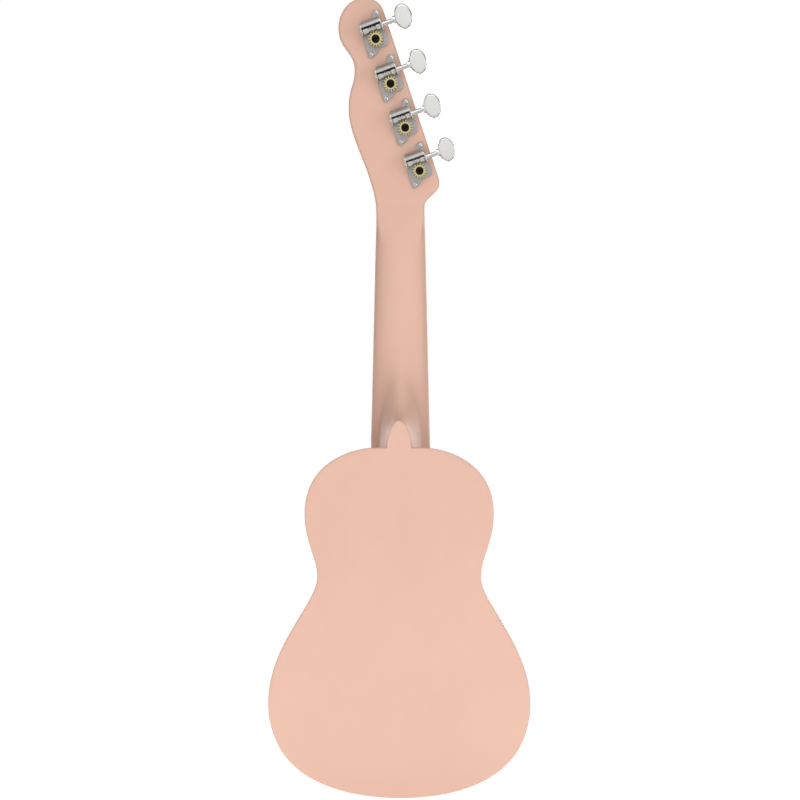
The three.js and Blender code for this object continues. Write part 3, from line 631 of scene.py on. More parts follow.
@dataclass(frozen=True)
class Bench:
    """Makes pieces from surfaces and fastens them to the frame."""

    palette: Palette
    sharp: float = math.radians(32)

    def make(self, name: str, skins: Sequence[Skin], finish: Finish, body: str = "root",
             stands_for: Sequence[str] = (),
             materials: Sequence[bpy.types.Material] = ()) -> bpy.types.Object:
        """Makes one piece and reports it.

        Args:
            name: The piece's name.
            skins: Its closed surfaces, in millimetres in the part's frame.
            finish: Its material slot.
            body: The CAD body that it rides on.
            stands_for: The CAD nodes that it replaces.
            materials: Its materials, or none for the finish's own.

        Returns:
            The Blender object.
        """
        starts = np.cumsum([0, *[len(s.points) for s in skins]])
        faces: list[list[int]] = []
        slots: list[int] = []
        for skin, start in zip(skins, starts):
            own = [*(skin.quads + start).tolist(), *(skin.fans + start).tolist()]
            own += [[corner + int(start) for corner in face] for face in skin.faces]
            faces += own
            slots += [skin.finish] * len(own)
        mesh = bpy.data.meshes.new(name)
        mesh.from_pydata((np.vstack([s.points for s in skins]) * MM).tolist(), [], faces)
        for material in materials or [self.palette.by_finish[finish]]:
            mesh.materials.append(material)
        mesh.polygons.foreach_set("material_index", slots)
        mesh.shade_smooth()
        mesh.set_sharp_from_angle(angle=self.sharp)
        piece = bpy.data.objects.new(name, mesh)
        bpy.context.scene.collection.objects.link(piece)
        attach(piece, body)
        if stands_for:
            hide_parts(*stands_for)
        log.info("%s: %d faces on %s", name, len(faces), body)
        return piece

    def carve(self, piece: bpy.types.Object, tools: Sequence[Skin]) -> None:
        """Cuts closed surfaces out of a piece and keeps the result as its mesh.

        Args:
            piece: The piece to cut.
            tools: What is cut away.
        """
        made = []
        for index, tool in enumerate(tools):
            mesh = bpy.data.meshes.new(f"tool_{index}")
            faces = [*tool.quads.tolist(), *tool.fans.tolist(), *tool.faces]
            mesh.from_pydata((tool.points * MM).tolist(), [], faces)
            cutter = bpy.data.objects.new(f"tool_{index}", mesh)
            bpy.context.scene.collection.objects.link(cutter)
            cut = piece.modifiers.new(f"cut_{index}", "BOOLEAN")
            cut.operation, cut.solver, cut.object = "DIFFERENCE", "EXACT", cutter
            made.append(cutter)
        bpy.context.view_layer.update()
        evaluated = piece.evaluated_get(bpy.context.evaluated_depsgraph_get())
        carved = bpy.data.meshes.new_from_object(evaluated)
        carved.shade_smooth()
        carved.set_sharp_from_angle(angle=self.sharp)
        piece.modifiers.clear()
        piece.data = carved
        for cutter in made:
            bpy.data.objects.remove(cutter)

    def dress(self, node: str, material: bpy.types.Material) -> None:
        """Gives a CAD node that stays a finished material."""
        mesh = frame["nodes"][node].data
        mesh.materials.clear()
        mesh.materials.append(material)
        log.info("%s: dressed in %s", node, material.name)


def box_mm(node: str) -> tuple[Array, Array]:
    """Lowest and highest corner of a CAD node at rest, in millimetres."""
    low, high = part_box(node)
    return np.array(low) / MM, np.array(high) / MM


# ---------------------------------------------------------------- body


@dataclass(frozen=True)
class HeelTab:
    """The rounded end of the back that runs up over the heel: a superellipse of this fullness."""

    half: float = 8.5
    length: float = 18.5
    fullness: float = 1.8

    def rim(self, joint_z: float, count: int = 28) -> Array:
        """Right half of the rim from the tip down to the joint, as x and z."""
        angle = np.linspace(np.pi / 2, 0, count)
        across = self.half * np.maximum(np.cos(angle), 0) ** (2 / self.fullness)
        return np.stack([across, joint_z + self.length * np.sin(angle) ** (2 / self.fullness)], axis=1)


@dataclass(frozen=True)
class Body:
    """The painted body: two flat plates with rounded edges, two bent sides and what is glued inside."""

    joint_z: float
    tail_z: float
    depth: float
    lower_half: float
    joint_half: float = 18.0
    upper_half: float = 63.4
    upper_drop: float = 44.3
    waist_half: float = 54.9
    waist_drop: float = 86.8
    lower_drop: float = 171.5
    shoulder: tuple[float, float] = (0.1, 0.9)
    upper_flow: tuple[float, float] = (0.44, 0.3)
    lower_flow: tuple[float, float] = (0.21, 0.46)
    tail_flow: tuple[float, float] = (0.92, 0.28)
    plate_thickness: float = 2.0
    edge_radius: float = 1.1
    side_thickness: float = 1.8
    hole_radius: float = 25.0
    hole_drop: float = 80.0
    tab: HeelTab = HeelTab()
    lining_depth: float = 6.0
    lining_width: float = 5.0
    kerf_pitch: float = 4.0
    neck_block_half: float = 26.2
    tail_block_half: float = 22.2

    def flow(self, start: Array, end: Array, handles: tuple[float, float], count: int) -> Array:
        """A stretch between two upright tangents; its handles are shares of the height between them."""
        rise = end[1] - start[1]
        leave = (start[0], start[1] + handles[0] * rise)
        arrive = (end[0], end[1] - handles[1] * rise)
        return bezier([start, leave, arrive, end], count)

    def half_outline(self, count: int = 56) -> Array:
        """First-string half of the outline from the edge of the neck joint to the tail, as x and z.

        Args:
            count: Points on each of the four stretches.

        Returns:
            Points from top to bottom.
        """
        joint = np.array([self.joint_half, self.joint_z])
        upper = np.array([self.upper_half, self.joint_z - self.upper_drop])
        waist = np.array([self.waist_half, self.joint_z - self.waist_drop])
        lower = np.array([self.lower_half, self.joint_z - self.lower_drop])
        tail = np.array([0, self.tail_z])
        leave = (joint[0] + self.shoulder[0] * (upper[0] - joint[0]), self.joint_z)
        arrive = (upper[0], upper[1] + self.shoulder[1] * self.upper_drop)
        down = (lower[0], lower[1] + self.tail_flow[0] * (self.tail_z - lower[1]))
        along = (self.tail_flow[1] * lower[0], self.tail_z)
        return chained([
            bezier([joint, leave, arrive, upper], count), self.flow(upper, waist, self.upper_flow, count),
            self.flow(waist, lower, self.lower_flow, count), bezier([lower, down, along, tail], count),
        ])

    def closed(self, half: Array) -> Array:
        """A right half from centre line to centre line and its mirror image, as a closed outline."""
        mirror = half[1:-1][::-1] * [-1, 1]
        return np.vstack([half, mirror])

    def outline(self) -> Array:
        """The soundboard's closed outline."""
        flat = np.stack([np.linspace(0, self.joint_half, 8)[:-1], np.full(7, self.joint_z)], axis=1)
        return self.closed(np.vstack([flat, self.half_outline()]))

    def back_outline(self) -> Array:
        """The back's closed outline, heel tab included."""
        rim = self.tab.rim(self.joint_z)
        flat = np.stack([np.linspace(self.tab.half, self.joint_half, 8)[1:-1], np.full(6, self.joint_z)],
                        axis=1)
        return self.closed(np.vstack([rim, flat, self.half_outline()]))

    def hole_centre(self) -> Array:
        """Middle of the soundhole, as x and z."""
        return np.array([0.0, self.joint_z - self.hole_drop])

    def back(self) -> Skin:
        """The back: its outline carried round the edge profile and shrunk to the waist's middle."""
        high = self.depth
        return plate(self.back_outline(), high - self.plate_thickness, high, self.edge_radius,
                     self.hole_centre()).placed(UPRIGHT)

    def soundboard(self) -> Skin:
        """The soundboard: rings from the outline over the face to the hole, down its wall and back inside."""
        outline = self.outline()
        drawn, heights = edge_profile(0, self.plate_thickness, self.edge_radius, 6)
        rim = [np.column_stack([inset(outline, d), np.full(len(outline), h)])
               for d, h in zip(drawn, heights)]
        ray = unit(outline - self.hole_centre())
        widened, levels = edge_profile(0, self.plate_thickness, 0.7, 5)
        mouth = [np.column_stack([self.hole_centre() + ray * (self.hole_radius + w), np.full(len(ray), h)])
                 for w, h in zip(widened, levels)]
        shares = np.array([0.03, 0.15, 0.35, 0.6, 0.85, 0.97])[:, None, None]
        inside = rim[-1] + shares * (mouth[-1] - rim[-1])
        outside = mouth[0] + shares * (rim[0] - mouth[0])
        return loft(np.concatenate([rim, inside, mouth[::-1], outside]), Cap.LOOP).placed(UPRIGHT)

    def bent_side(self, side: Side) -> Skin:
        """A side: an upright strip's section carried along half of the outline.

        Args:
            side: Which side of the body.

        Returns:
            The closed surface.
        """
        outline = self.outline()
        count = len(outline) // 2 + 1
        inner = inset(outline, self.side_thickness)[:count]
        outer = outline[:count]
        low, high = self.plate_thickness, self.depth - self.plate_thickness
        levels = np.linspace(low, high, 9)
        section = [(outer, level) for level in levels] + [(inner, level) for level in levels[::-1]]
        rings = np.stack([np.column_stack([p * [side.value, 1], np.full(count, y)]) for p, y in section],
                         axis=1)
        return loft(rings).placed(UPRIGHT)

    def lining(self, side: Side, at_back: bool) -> Skin:
        """A kerfed lining: a sloped strip along a side's inner face, thinned at every saw kerf.

        Args:
            side: Which side of the body.
            at_back: Whether it backs the back's edge or the soundboard's.

        Returns:
            The closed surface.
        """
        outline = self.outline()
        inner = inset(outline, self.side_thickness)[: len(outline) // 2 + 1]
        clear = ((inner[:, 1] > self.joint_z - self.waist_drop) & (inner[:, 0] > self.neck_block_half)) | (
            (inner[:, 1] <= self.joint_z - self.waist_drop) & (inner[:, 0] > self.tail_block_half))
        run = inner[clear]
        length = np.concatenate([[0], np.cumsum(np.linalg.norm(np.diff(run, axis=0), axis=1))])
        starts = np.arange(0, length[-1] - self.kerf_pitch, self.kerf_pitch)
        marks = np.sort((starts[:, None] + np.array([0, 0.02, 0.78, 0.8]) * self.kerf_pitch).ravel())
        kerfed = np.isin(np.arange(len(marks)) % 4, (0, 3))
        path = np.stack([np.interp(marks, length, run[:, i]) for i in (0, 1)], axis=1)
        along = unit(np.gradient(path, axis=0))
        inward = np.stack([along[:, 1], -along[:, 0]], axis=1)
        width = np.where(kerfed, 0.25, 1.0) * self.lining_width
        base = self.depth - self.plate_thickness if at_back else self.plate_thickness
        towards = -1 if at_back else 1
        shape = np.array([[0.0, 0.0], [1.0, 0.0], [1.0, 0.35], [0.3, 1.0], [0.0, 1.0]])
        rings = np.stack([
            np.column_stack([(path + inward * (width * across)[:, None]) * [side.value, 1],
                             np.full(len(path), base + towards * rise * self.lining_depth)])
            for across, rise in shape
        ], axis=1)
        return loft(rings, Cap.FACE).placed(UPRIGHT)

    def hole_ring(self) -> list[Skin]:
        """The inlay round the soundhole: three rings side by side, each a low band carried round a circle."""
        bands = ((28.6, 29.5, 1), (29.5, 31.6, 0), (31.6, 32.5, 1))
        angle = np.arange(160) * 2 * np.pi / 160
        proud, sunk = -0.06, 0.5
        made = []
        for inner, outer, finish in bands:
            lip = 0.08
            section = np.array([[inner, sunk], [inner, proud + lip], [inner + lip, proud],
                                [outer - lip, proud],
                                [outer, proud + lip], [outer, sunk]])
            x = section[None, :, 0] * np.cos(angle)[:, None]
            z = self.hole_centre()[1] + section[None, :, 0] * np.sin(angle)[:, None]
            y = np.broadcast_to(section[None, :, 1], x.shape)
            made.append(loft(np.stack([x, y, z], axis=-1), Cap.LOOP).dressed(finish))
        return made

    def build(self, bench: Bench) -> None:
        """Makes the body's pieces and dresses the CAD pieces that stay inside it."""
        bench.make("painted_back", [self.back()], Finish.PAINT, stands_for=["back_plate"])
        bench.make("painted_soundboard", [self.soundboard()], Finish.PAINT, stands_for=["soundboard"])
        for side in Side:
            label = side.name.lower()
            bench.make(f"painted_{label}_side", [self.bent_side(side)], Finish.PAINT,
                       stands_for=[f"{label}_side"])
            for at_back in (False, True):
                place = "back" if at_back else "top"
                bench.make(f"{label}_{place}_lining", [self.lining(side, at_back)], Finish.BRACE_WOOD,
                           materials=[bench.palette.lining_wood])
        bench.make("soundhole_ring", self.hole_ring(), Finish.BONE,
                   materials=[bench.palette.cream, bench.palette.ebony])
        for node in ("neck_block", "tail_block"):
            bench.dress(node, bench.palette.by_finish[Finish.BLOCK_WOOD])
        for node in ("upper_top_brace", "lower_top_brace", "upper_back_brace", "lower_back_brace",
                     "bridge_plate"):
            bench.dress(node, bench.palette.by_finish[Finish.BRACE_WOOD])


# ---------------------------------------------------------------- neck


@dataclass(frozen=True)
class HeadOutline:
    """The head's outline in its own plane: p to the buttons' side, s from the nut to the tip."""

    nut_half: float = 17.5
    first_tuner: tuple[float, float] = (13.8, 23.0)
    line_tilt: float = math.radians(19)
    tuner_spacing: float = 30.8
    to_edge: float = 11.2
    top: tuple[float, float] = (-24.5, 137.4)
    scroll: tuple[float, float] = (-42.2, 118.8)
    hollow: tuple[float, float] = (-31.4, 91.2)
    bulge: tuple[float, float] = (-36.0, 64.5)

    def edge(self, along: float) -> Array:
        """A point of the straight edge beside the buttons, so far along the tuners' line."""
        c, s = math.cos(self.line_tilt), math.sin(self.line_tilt)
        return np.array(self.first_tuner) + self.to_edge * np.array([c, s]) + along * np.array([-s, c])

    def button_side(self, count: int = 80) -> Array:
        """Points from the nut up the buttons' side to the top."""
        half, top = self.nut_half, np.array(self.top)
        low, high = self.edge(-7.5), self.edge(3 * self.tuner_spacing + 13)
        foot = low + [-4.6, -13.8]
        knee = low + [1.1, -5.3]
        bend = low + [1.1, -2.6]
        return chained([
            bezier([(half, 0), (half + 0.4, 1.6), (half + 1.8, 3.2), foot], count),
            bezier([foot, low + [-2, -11.5], low + [1.1, -9], knee], count),
            bezier([knee, knee / 3 + bend * 2 / 3, low / 3 + bend * 2 / 3, low], count),
            np.linspace(low, high, count),
            bezier([high, high + [-2, 6], top + [10.5, 0], top], 3 * count),
        ])

    def plain_side(self, count: int = 80) -> Array:
        """Points from the nut up the other side to the top."""
        half, top, scroll = self.nut_half, np.array(self.top), np.array(self.scroll)
        hollow, bulge = np.array(self.hollow), np.array(self.bulge)
        rise = hollow[1] - scroll[1]
        fall = bulge[1] - hollow[1]
        down = chained([
            bezier([top, top + [-13.3, 0], (scroll[0], top[1] - 0.68 * (top[1] - scroll[1])), scroll],
                   3 * count),
            bezier([scroll, scroll + [0, 0.56 * rise], hollow - [0, 0.45 * rise], hollow], count),
            bezier([hollow, hollow + [0, 0.39 * fall], bulge - [0, 0.56 * fall], bulge], count),
            bezier([bulge, (bulge[0], 0.71 * bulge[1]), (-half - 2.9, 0.37 * bulge[1]), (-half, 0)], count),
        ])
        return down[::-1]


@dataclass(frozen=True)
class Neck:
    """The neck's one carved blank: heel, shaft and tilted head.

    The surface is found section by section. A station q runs up the front face, each section leans from
    upright to the head's tilt, and on rays from its middle the surface is where a field is zero. The field
    is a superellipse for the shaft, a box with rounded edges for the head, a keel-shaped superellipse for
    the heel, smoothly joined.
    """

    joint_z: float
    body_depth: float
    tab: HeelTab
    outline: HeadOutline = HeadOutline()
    joint_half: float = 21.5
    depth_at_nut: float = 12.4
    depth_at_heel: float = 14.5
    nut_end: float = 5.0
    tilt: float = math.radians(14)
    head_thickness: float = 12.0
    shaft_power: float = 2.25
    back_edge: float = 2.1
    front_edge: float = 1.3
    heel_sweep: float = 44.0
    heel_flare: float = 7.0
    heel_blend: float = 5.5
    into_body: float = 0.5
    lean_from: float = -20.0
    lean_to: float = 10.0
    square_from: float = -30.0
    square_to: float = 7.0
    rays: int = 152

    def half_width(self, z: Array) -> Array:
        """Half of the shaft's width at a height."""
        return self.outline.nut_half + (self.joint_half - self.outline.nut_half) * z / self.joint_z

    def depth(self, q: Array) -> Array:
        """Thickness of shaft and head from the front face."""
        shaft = self.depth_at_nut + (self.depth_at_heel - self.depth_at_nut) * q / self.joint_z
        return shaft + (self.head_thickness - shaft) * smoothstep(q, self.square_from, self.square_to)

    def reach(self, q: Array) -> tuple[Array, Array]:
        """Lowest and highest x of each section: the shaft's edges below the nut, the head's outline above."""
        buttons, plain = self.outline.button_side(), self.outline.plain_side()
        s = q - self.nut_end
        low = np.where(s < 0, -self.half_width(q), -np.interp(s, buttons[:, 1], buttons[:, 0]))
        high = np.where(s < 0, self.half_width(q), -np.interp(s, plain[:, 1], plain[:, 0]))
        return low, high

    def keel(self, z: Array) -> Array:
        """Depth of the heel's ridge at a height."""
        over = np.maximum((z - self.joint_z - self.tab.length) / self.heel_sweep, 0)
        high = self.body_depth - 2
        return high - (high - self.depth_at_heel) * np.minimum(over ** (1 / 2.6), 1)

    def stations(self) -> Array:
        """Where the sections are: close together on the heel's nose, the nut and the head's corners."""
        foot = self.joint_z - self.into_body
        tip = self.joint_z + self.tab.length
        nose = tip + self.heel_sweep * np.linspace(0, 1, 46) ** 2.6
        top = self.outline.top[1] + self.nut_end
        crown = top - 7 * np.linspace(1, 0.03, 22) ** 2
        return np.concatenate([
            np.linspace(foot, tip - 0.2, 24), nose[1:-1], np.linspace(nose[-1], self.square_from, 30),
            np.linspace(self.square_from, 30, 74)[1:], np.linspace(30, top - 7, 86)[1:-1], crown,
        ])

    def field(self, x: Array, d: Array, q: Array, low: Array, high: Array,
              slopes: tuple[Array, Array]) -> Array:
        """How far a point of a section is outside the surface, in about millimetres; negative inside.

        Args:
            x: Across.
            d: Depth from the front face.
            q: Station.
            low: Lowest x of the section.
            high: Highest x of the section.
            slopes: How fast low and high change with the station.

        Returns:
            The field's values.
        """
        depth = self.depth(q)
        half = self.half_width(np.minimum(q, self.nut_end))
        p = self.shaft_power
        round_share = ((np.abs(x) / half) ** p + (np.maximum(d, 0) / depth) ** p) ** (1 / p) - 1
        shaft = np.maximum(round_share * depth, -d)
        front = 0.05 + self.front_edge * smoothstep(q, self.nut_end, self.nut_end + 5)
        radius = np.where(d > depth / 2, self.back_edge, front)
        beyond = np.maximum((x - high) / np.hypot(1, slopes[1]),
                            (low - x) / np.hypot(1, slopes[0])) + radius
        above = np.abs(d - depth / 2) - depth / 2 + radius
        corner = np.hypot(np.maximum(beyond, 0), np.maximum(above, 0))
        box = np.minimum(np.maximum(beyond, above), 0) + corner - radius
        share = smoothstep(q, self.square_from, self.square_to)
        blank = shaft + (box - shaft) * share
        end = self.body_depth - 2
        drop = np.clip((end - d) / (end - self.depth_at_heel), 0, 1.2)
        width = self.tab.half + self.heel_flare * drop**1.1
        length = self.tab.length + self.heel_sweep * drop**2.6
        n = self.tab.fullness
        along = np.maximum(q - self.joint_z, 0) / length
        heel = np.maximum((((np.abs(x) / width) ** n + along**n) ** (1 / n) - 1) * width, d - end)
        mix = np.clip(0.5 + 0.5 * (heel - blank) / self.heel_blend, 0, 1)
        joined = heel + (blank - heel) * mix - self.heel_blend * mix * (1 - mix)
        return np.maximum(joined, -d)

    def skin(self) -> Skin:
        """The blank's surface: on every ray the field's zero is closed in on by halving, all rays at once."""
        q = self.stations()[:, None]
        low, high = self.reach(q)
        fine = 0.05
        slopes = tuple((b - a) / (2 * fine) for a, b in zip(self.reach(q - fine), self.reach(q + fine)))
        middle_x, middle_d = (low + high) / 2, 0.45 * self.depth(q)
        behind = np.maximum(self.keel(q), self.depth(q)) - middle_d
        behind = np.where(q > -60, self.depth(q) - middle_d, behind)
        turn = np.linspace(-1, 1, self.rays // 4, endpoint=False)
        quarter = np.pi / 4 * np.sign(turn) * np.abs(turn) ** 1.5
        angle = (np.pi / 4 + quarter[None, :] + np.arange(4)[:, None] * np.pi / 2).ravel()[None, :]
        step_x = (high - low) / 2 * np.cos(angle)
        step_d = np.where(np.sin(angle) > 0, behind, middle_d) * np.sin(angle)
        near, far = np.zeros_like(step_x), np.full_like(step_x, 1.7)
        for _ in range(34):
            share = (near + far) / 2
            inside = self.field(middle_x + share * step_x, middle_d + share * step_d, q, low, high,
                                slopes) < 0
            near, far = np.where(inside, share, near), np.where(inside, far, share)
        x, d = middle_x + near * step_x, middle_d + near * step_d
        lean = self.tilt * smoothstep(q, self.lean_from, self.lean_to)
        up = np.maximum(q - self.nut_end, 0)
        y = up * math.sin(self.tilt) + d * np.cos(lean)
        z = np.minimum(q, self.nut_end) + up * math.cos(self.tilt) - d * np.sin(lean)
        return loft(np.stack([x, y, z], axis=-1))

    def build(self, bench: Bench, bores: Sequence[Skin]) -> None:
        """Makes the neck and bores the head for the string posts."""
        piece = bench.make("painted_neck", [self.skin()], Finish.PAINT, stands_for=["neck"])
        bench.carve(piece, bores)


# ---------------------------------------------------------------- fingerboard, frets, nut, bridge


@dataclass(frozen=True)
class Playing:
    """What the strings run over: scale, string places and heights, fingerboard, frets, nut and bridge."""

    joint_z: float
    scale: float = 345.4
    fret_count: int = 12
    gauges: tuple[float, ...] = (0.6, 0.9, 0.8, 0.65)
    names: tuple[str, ...] = ("g", "c", "e", "a")
    nut_span: float = 27.0
    saddle_span: float = 41.0
    board_top: float = -4.0
    board_half: float = 17.5
    board_half_at_joint: float = 21.5
    board_overhang: float = 6.0
    fret_height: float = 1.0
    fret_half: float = 1.0
    action_nut: float = 0.5
    action_joint: float = 2.4
    nut_thickness: float = 5.0
    nut_lip: float = 0.9
    bridge_half: float = 38.0
    bridge_height: float = 7.0
    bridge_front: float = 9.0
    bridge_rear: float = 11.0
    saddle_half: float = 28.0
    saddle_thickness: float = 2.4
    saddle_seat: float = 4.0
    knot_radius: float = 1.4
    gap: float = 0.3

    def half_width(self, z: float) -> float:
        """Half of the fingerboard's width at a height."""
        return self.board_half + (self.board_half_at_joint - self.board_half) * z / self.joint_z

    def under(self, z: float) -> float:
        """Depth of the strings' undersides at a height: they rise evenly from nut to saddle."""
        at_nut = self.board_top - self.fret_height - self.action_nut
        at_joint = self.board_top - self.fret_height - self.action_joint
        return at_nut + (at_joint - at_nut) * z / self.joint_z

    def fret_z(self, number: int) -> float:
        """Height of a fret: each one leaves a twelfth root of a half of the string's length."""
        return -self.scale * (1 - 2 ** (-number / 12))

    def across(self, index: int, span: float) -> float:
        """Where a string lies across a span."""
        return span * (index / (len(self.names) - 1) - 0.5)

    def board(self) -> Skin:
        """The fingerboard: a tapered plate with eased edges."""
        end = self.joint_z - self.board_overhang
        low, high = self.half_width(end), self.half_width(0)
        rows = np.linspace(0, end, 60)
        sides = np.stack([high + (low - high) * rows / end, rows], axis=1)
        foot = np.stack([np.linspace(low, -low, 20)[1:-1], np.full(18, end)], axis=1)
        head = np.stack([np.linspace(-high, high, 16)[1:-1], np.zeros(14)], axis=1)
        outline = np.vstack([sides, foot, (sides * [-1, 1])[::-1], head])
        return plate(outline, self.board_top, 0, 0.45, np.array([0.0, end / 2]), 4).placed(UPRIGHT)

    def fret(self, number: int) -> Skin:
        """A fret: a low round crown carried across the board, its ends filed to a slope."""
        reach = self.half_width(self.fret_z(number)) - 0.35
        x = np.array([-1, -0.999, -0.985, -0.965, -0.5, 0, 0.5, 0.965, 0.985, 0.999, 1]) * reach
        rise = np.array([0.25, 0.5, 0.86, 1, 1, 1, 1, 1, 0.86, 0.5, 0.25])
        angle = np.linspace(0, np.pi, 13)
        z = self.fret_z(number) + self.fret_half * np.concatenate([np.cos(angle), [-1, 1]])
        crown = np.concatenate([np.sin(angle) ** 0.85, [-0.3, -0.3]])
        y = self.board_top - self.fret_height * crown[None, :] * rise[:, None]
        return loft(np.stack([np.broadcast_to(x[:, None], y.shape), y, np.broadcast_to(z, y.shape)],
                             axis=-1), Cap.FACE)

    def dots(self) -> list[Skin]:
        """The pearl position dots: low domes, two of them at the twelfth fret."""
        made = []
        for number, spread in ((5, (0,)), (7, (0,)), (10, (0,)), (12, (-9.5, 9.5))):
            z = (self.fret_z(number) + self.fret_z(number - 1)) / 2
            for x in spread:
                place = Placement(np.array([x, self.board_top, z]),
                                  np.array([[1.0, 0, 0], [0, 0, 1], [0, -1, 0]]))
                made.append(turned([(2.6, -0.8), (2.6, 0), (2.5, 0.05), (1.2, 0.08), (0.1, 0.09)],
                                   40).placed(place))
        return made

    def nut(self) -> Skin:
        """The nut: a rounded block's section carried across, its crest lowered in each string's slot."""
        crest = self.under(0) - self.nut_lip
        half = self.board_half
        slots = [(self.across(i, self.nut_span), d / 2 + self.gap) for i, d in enumerate(self.gauges)]
        marks = [np.linspace(-half, half, 40)] + [x + r * np.linspace(-1.15, 1.15, 15) for x, r in slots]
        x = np.sort(np.concatenate(marks))
        notch = np.zeros_like(x)
        floor = self.under(0) + self.gap - crest
        for centre, radius in slots:
            notch = np.maximum(notch, floor * (1 - smoothstep(np.abs(x - centre), radius * 0.8,
                                                              radius * 1.1)))
        corner = arc((self.nut_thickness - 1.3, 1.3), 1.3, 0, -90, 6)
        lip = arc((0.35, 0.35), 0.35, -90, -180, 4)
        end = np.minimum((half - np.abs(x)) / 0.4, 1)
        ease = 0.35 * (1 - np.sqrt(np.clip(end, 0, 1) * (2 - np.clip(end, 0, 1))))
        section = np.vstack([corner, lip])
        y = crest + (section[None, :, 1] + (notch + ease)[:, None])
        z = np.broadcast_to(section[None, :, 0], y.shape)
        foot_z, foot_y = np.array([0.0, self.nut_thickness]), np.zeros(2)
        y = np.hstack([y, np.broadcast_to(foot_y, (len(x), 2))])
        z = np.hstack([z, np.broadcast_to(foot_z, (len(x), 2))])
        return loft(np.stack([np.broadcast_to(x[:, None], y.shape), y, z], axis=-1), Cap.FACE)

    def saddle(self) -> Skin:
        """The saddle: a thin bone bar with a round crest and eased ends."""
        half, crest = self.saddle_thickness / 2, self.under(-self.scale) + self.gap
        top = arc((0, 0), 1, 0, 180, 13) * [half, -0.9] + [-self.scale, crest + 0.9]
        foot = -self.bridge_height + self.saddle_seat - 0.1
        section = np.vstack([top, [[-self.scale - half, foot], [-self.scale + half, foot]]])
        x = self.saddle_half * np.array([-1, -0.995, -0.98, -0.95, -0.5, 0, 0.5, 0.95, 0.98, 0.995, 1])
        lower = np.array([1.3, 0.8, 0.3, 0, 0, 0, 0, 0, 0.3, 0.8, 1.3])
        y = np.minimum(section[None, :, 1] + lower[:, None], foot)
        z = np.broadcast_to(section[None, :, 0], y.shape)
        return loft(np.stack([np.broadcast_to(x[:, None], y.shape), y, z], axis=-1), Cap.FACE)

    def knot(self, index: int) -> Array:
        """Middle of a string's knot behind the saddle."""
        depth = -self.knot_radius - 1.6
        return np.array([self.across(index, self.saddle_span), depth,
                         -self.scale - self.bridge_rear + self.knot_radius + 0.4])

    def bridge(self) -> Skin:
        """The bridge: a moulded bar's section carried across, lower and narrower towards its rounded ends."""
        top = -self.bridge_height
        section = np.vstack([
            arc((self.bridge_front - 3.6, -3.4), 3.6, 0, -90, 9) * [1, 1],
            arc((-self.bridge_rear + 1.8, top + 1.8), 1.8, -90, -180, 7),
            [[-self.bridge_rear, -2.0], [-self.bridge_rear, 0.0], [self.bridge_front, 0.0],
             [self.bridge_front, -2.0]],
        ])
        x = self.bridge_half * np.sin(np.linspace(-np.pi / 2, np.pi / 2, 61) * 0.985)
        share = np.abs(x) / self.bridge_half
        fall = 1 - 0.38 * smoothstep(share, 0.76, 1.0)
        pinch = (1 - np.clip((share - 0.9) / 0.1, 0, 1) ** 2.4) ** 0.5
        middle = (self.bridge_front - self.bridge_rear) / 2
        z = -self.scale + middle + (section[None, :, 0] - middle) * (0.55 + 0.45 * pinch)[:, None]
        y = section[None, :, 1] * fall[:, None]
        return loft(np.stack([np.broadcast_to(x[:, None], y.shape), y, z], axis=-1), Cap.FACE)

    def bridge_cuts(self) -> list[Skin]:
        """What is cut out of the bridge: the saddle's seat, and a slot and a round pocket for each knot."""
        seat = self.saddle_thickness / 2 + 0.1
        above = 2.0

        def bar(x0: float, x1: float, low: float, z0: float, z1: float) -> Skin:
            """An upright bar from a depth to above the bridge."""
            outline = np.array([[x0, z0], [x1, z0], [x1, z1], [x0, z1]])
            return plate(outline, -self.bridge_height - above, low, 0.12, None, 3).placed(UPRIGHT)

        tools = [bar(-self.saddle_half - 0.1, self.saddle_half + 0.1,
                     -self.bridge_height + self.saddle_seat,
                     -self.scale - seat, -self.scale + seat)]
        for index, gauge in enumerate(self.gauges):
            x, y, z = self.knot(index)
            half, pocket = gauge / 2 + 2 * self.gap, self.knot_radius + self.gap
            rear = -self.scale - self.bridge_rear - above
            tools.append(bar(x - half, x + half, y + pocket, z, -self.scale - seat - 1))
            hole = filleted([(x - pocket, rear), (x + pocket, rear), (x + pocket, z + pocket),
                             (x - pocket, z + pocket)],
                            pocket, 7)
            tools.append(plate(hole, -self.bridge_height - above, y + pocket, 0.2, None, 3).placed(UPRIGHT))
        return tools

    def build(self, bench: Bench) -> None:
        """Makes the fingerboard, frets, dots, nut, saddle and bridge."""
        bench.make("walnut_fingerboard", [self.board()], Finish.DARK_WOOD, stands_for=["fingerboard"])
        for number in range(1, self.fret_count + 1):
            bench.make(f"fret_wire_{number}", [self.fret(number)], Finish.FRET_WIRE,
                       stands_for=[f"fret_{number}"])
        bench.make("position_dots", self.dots(), Finish.BONE, materials=[bench.palette.pearl])
        bench.make("bone_nut", [self.nut()], Finish.BONE, stands_for=["nut"])
        bench.make("bone_saddle", [self.saddle()], Finish.BONE, stands_for=["saddle"])
        bridge = bench.make("walnut_bridge", [self.bridge()], Finish.DARK_WOOD, stands_for=["bridge"],
                            materials=[bench.palette.bridge_wood])
        bench.carve(bridge, self.bridge_cuts())


# ---------------------------------------------------------------- tuners


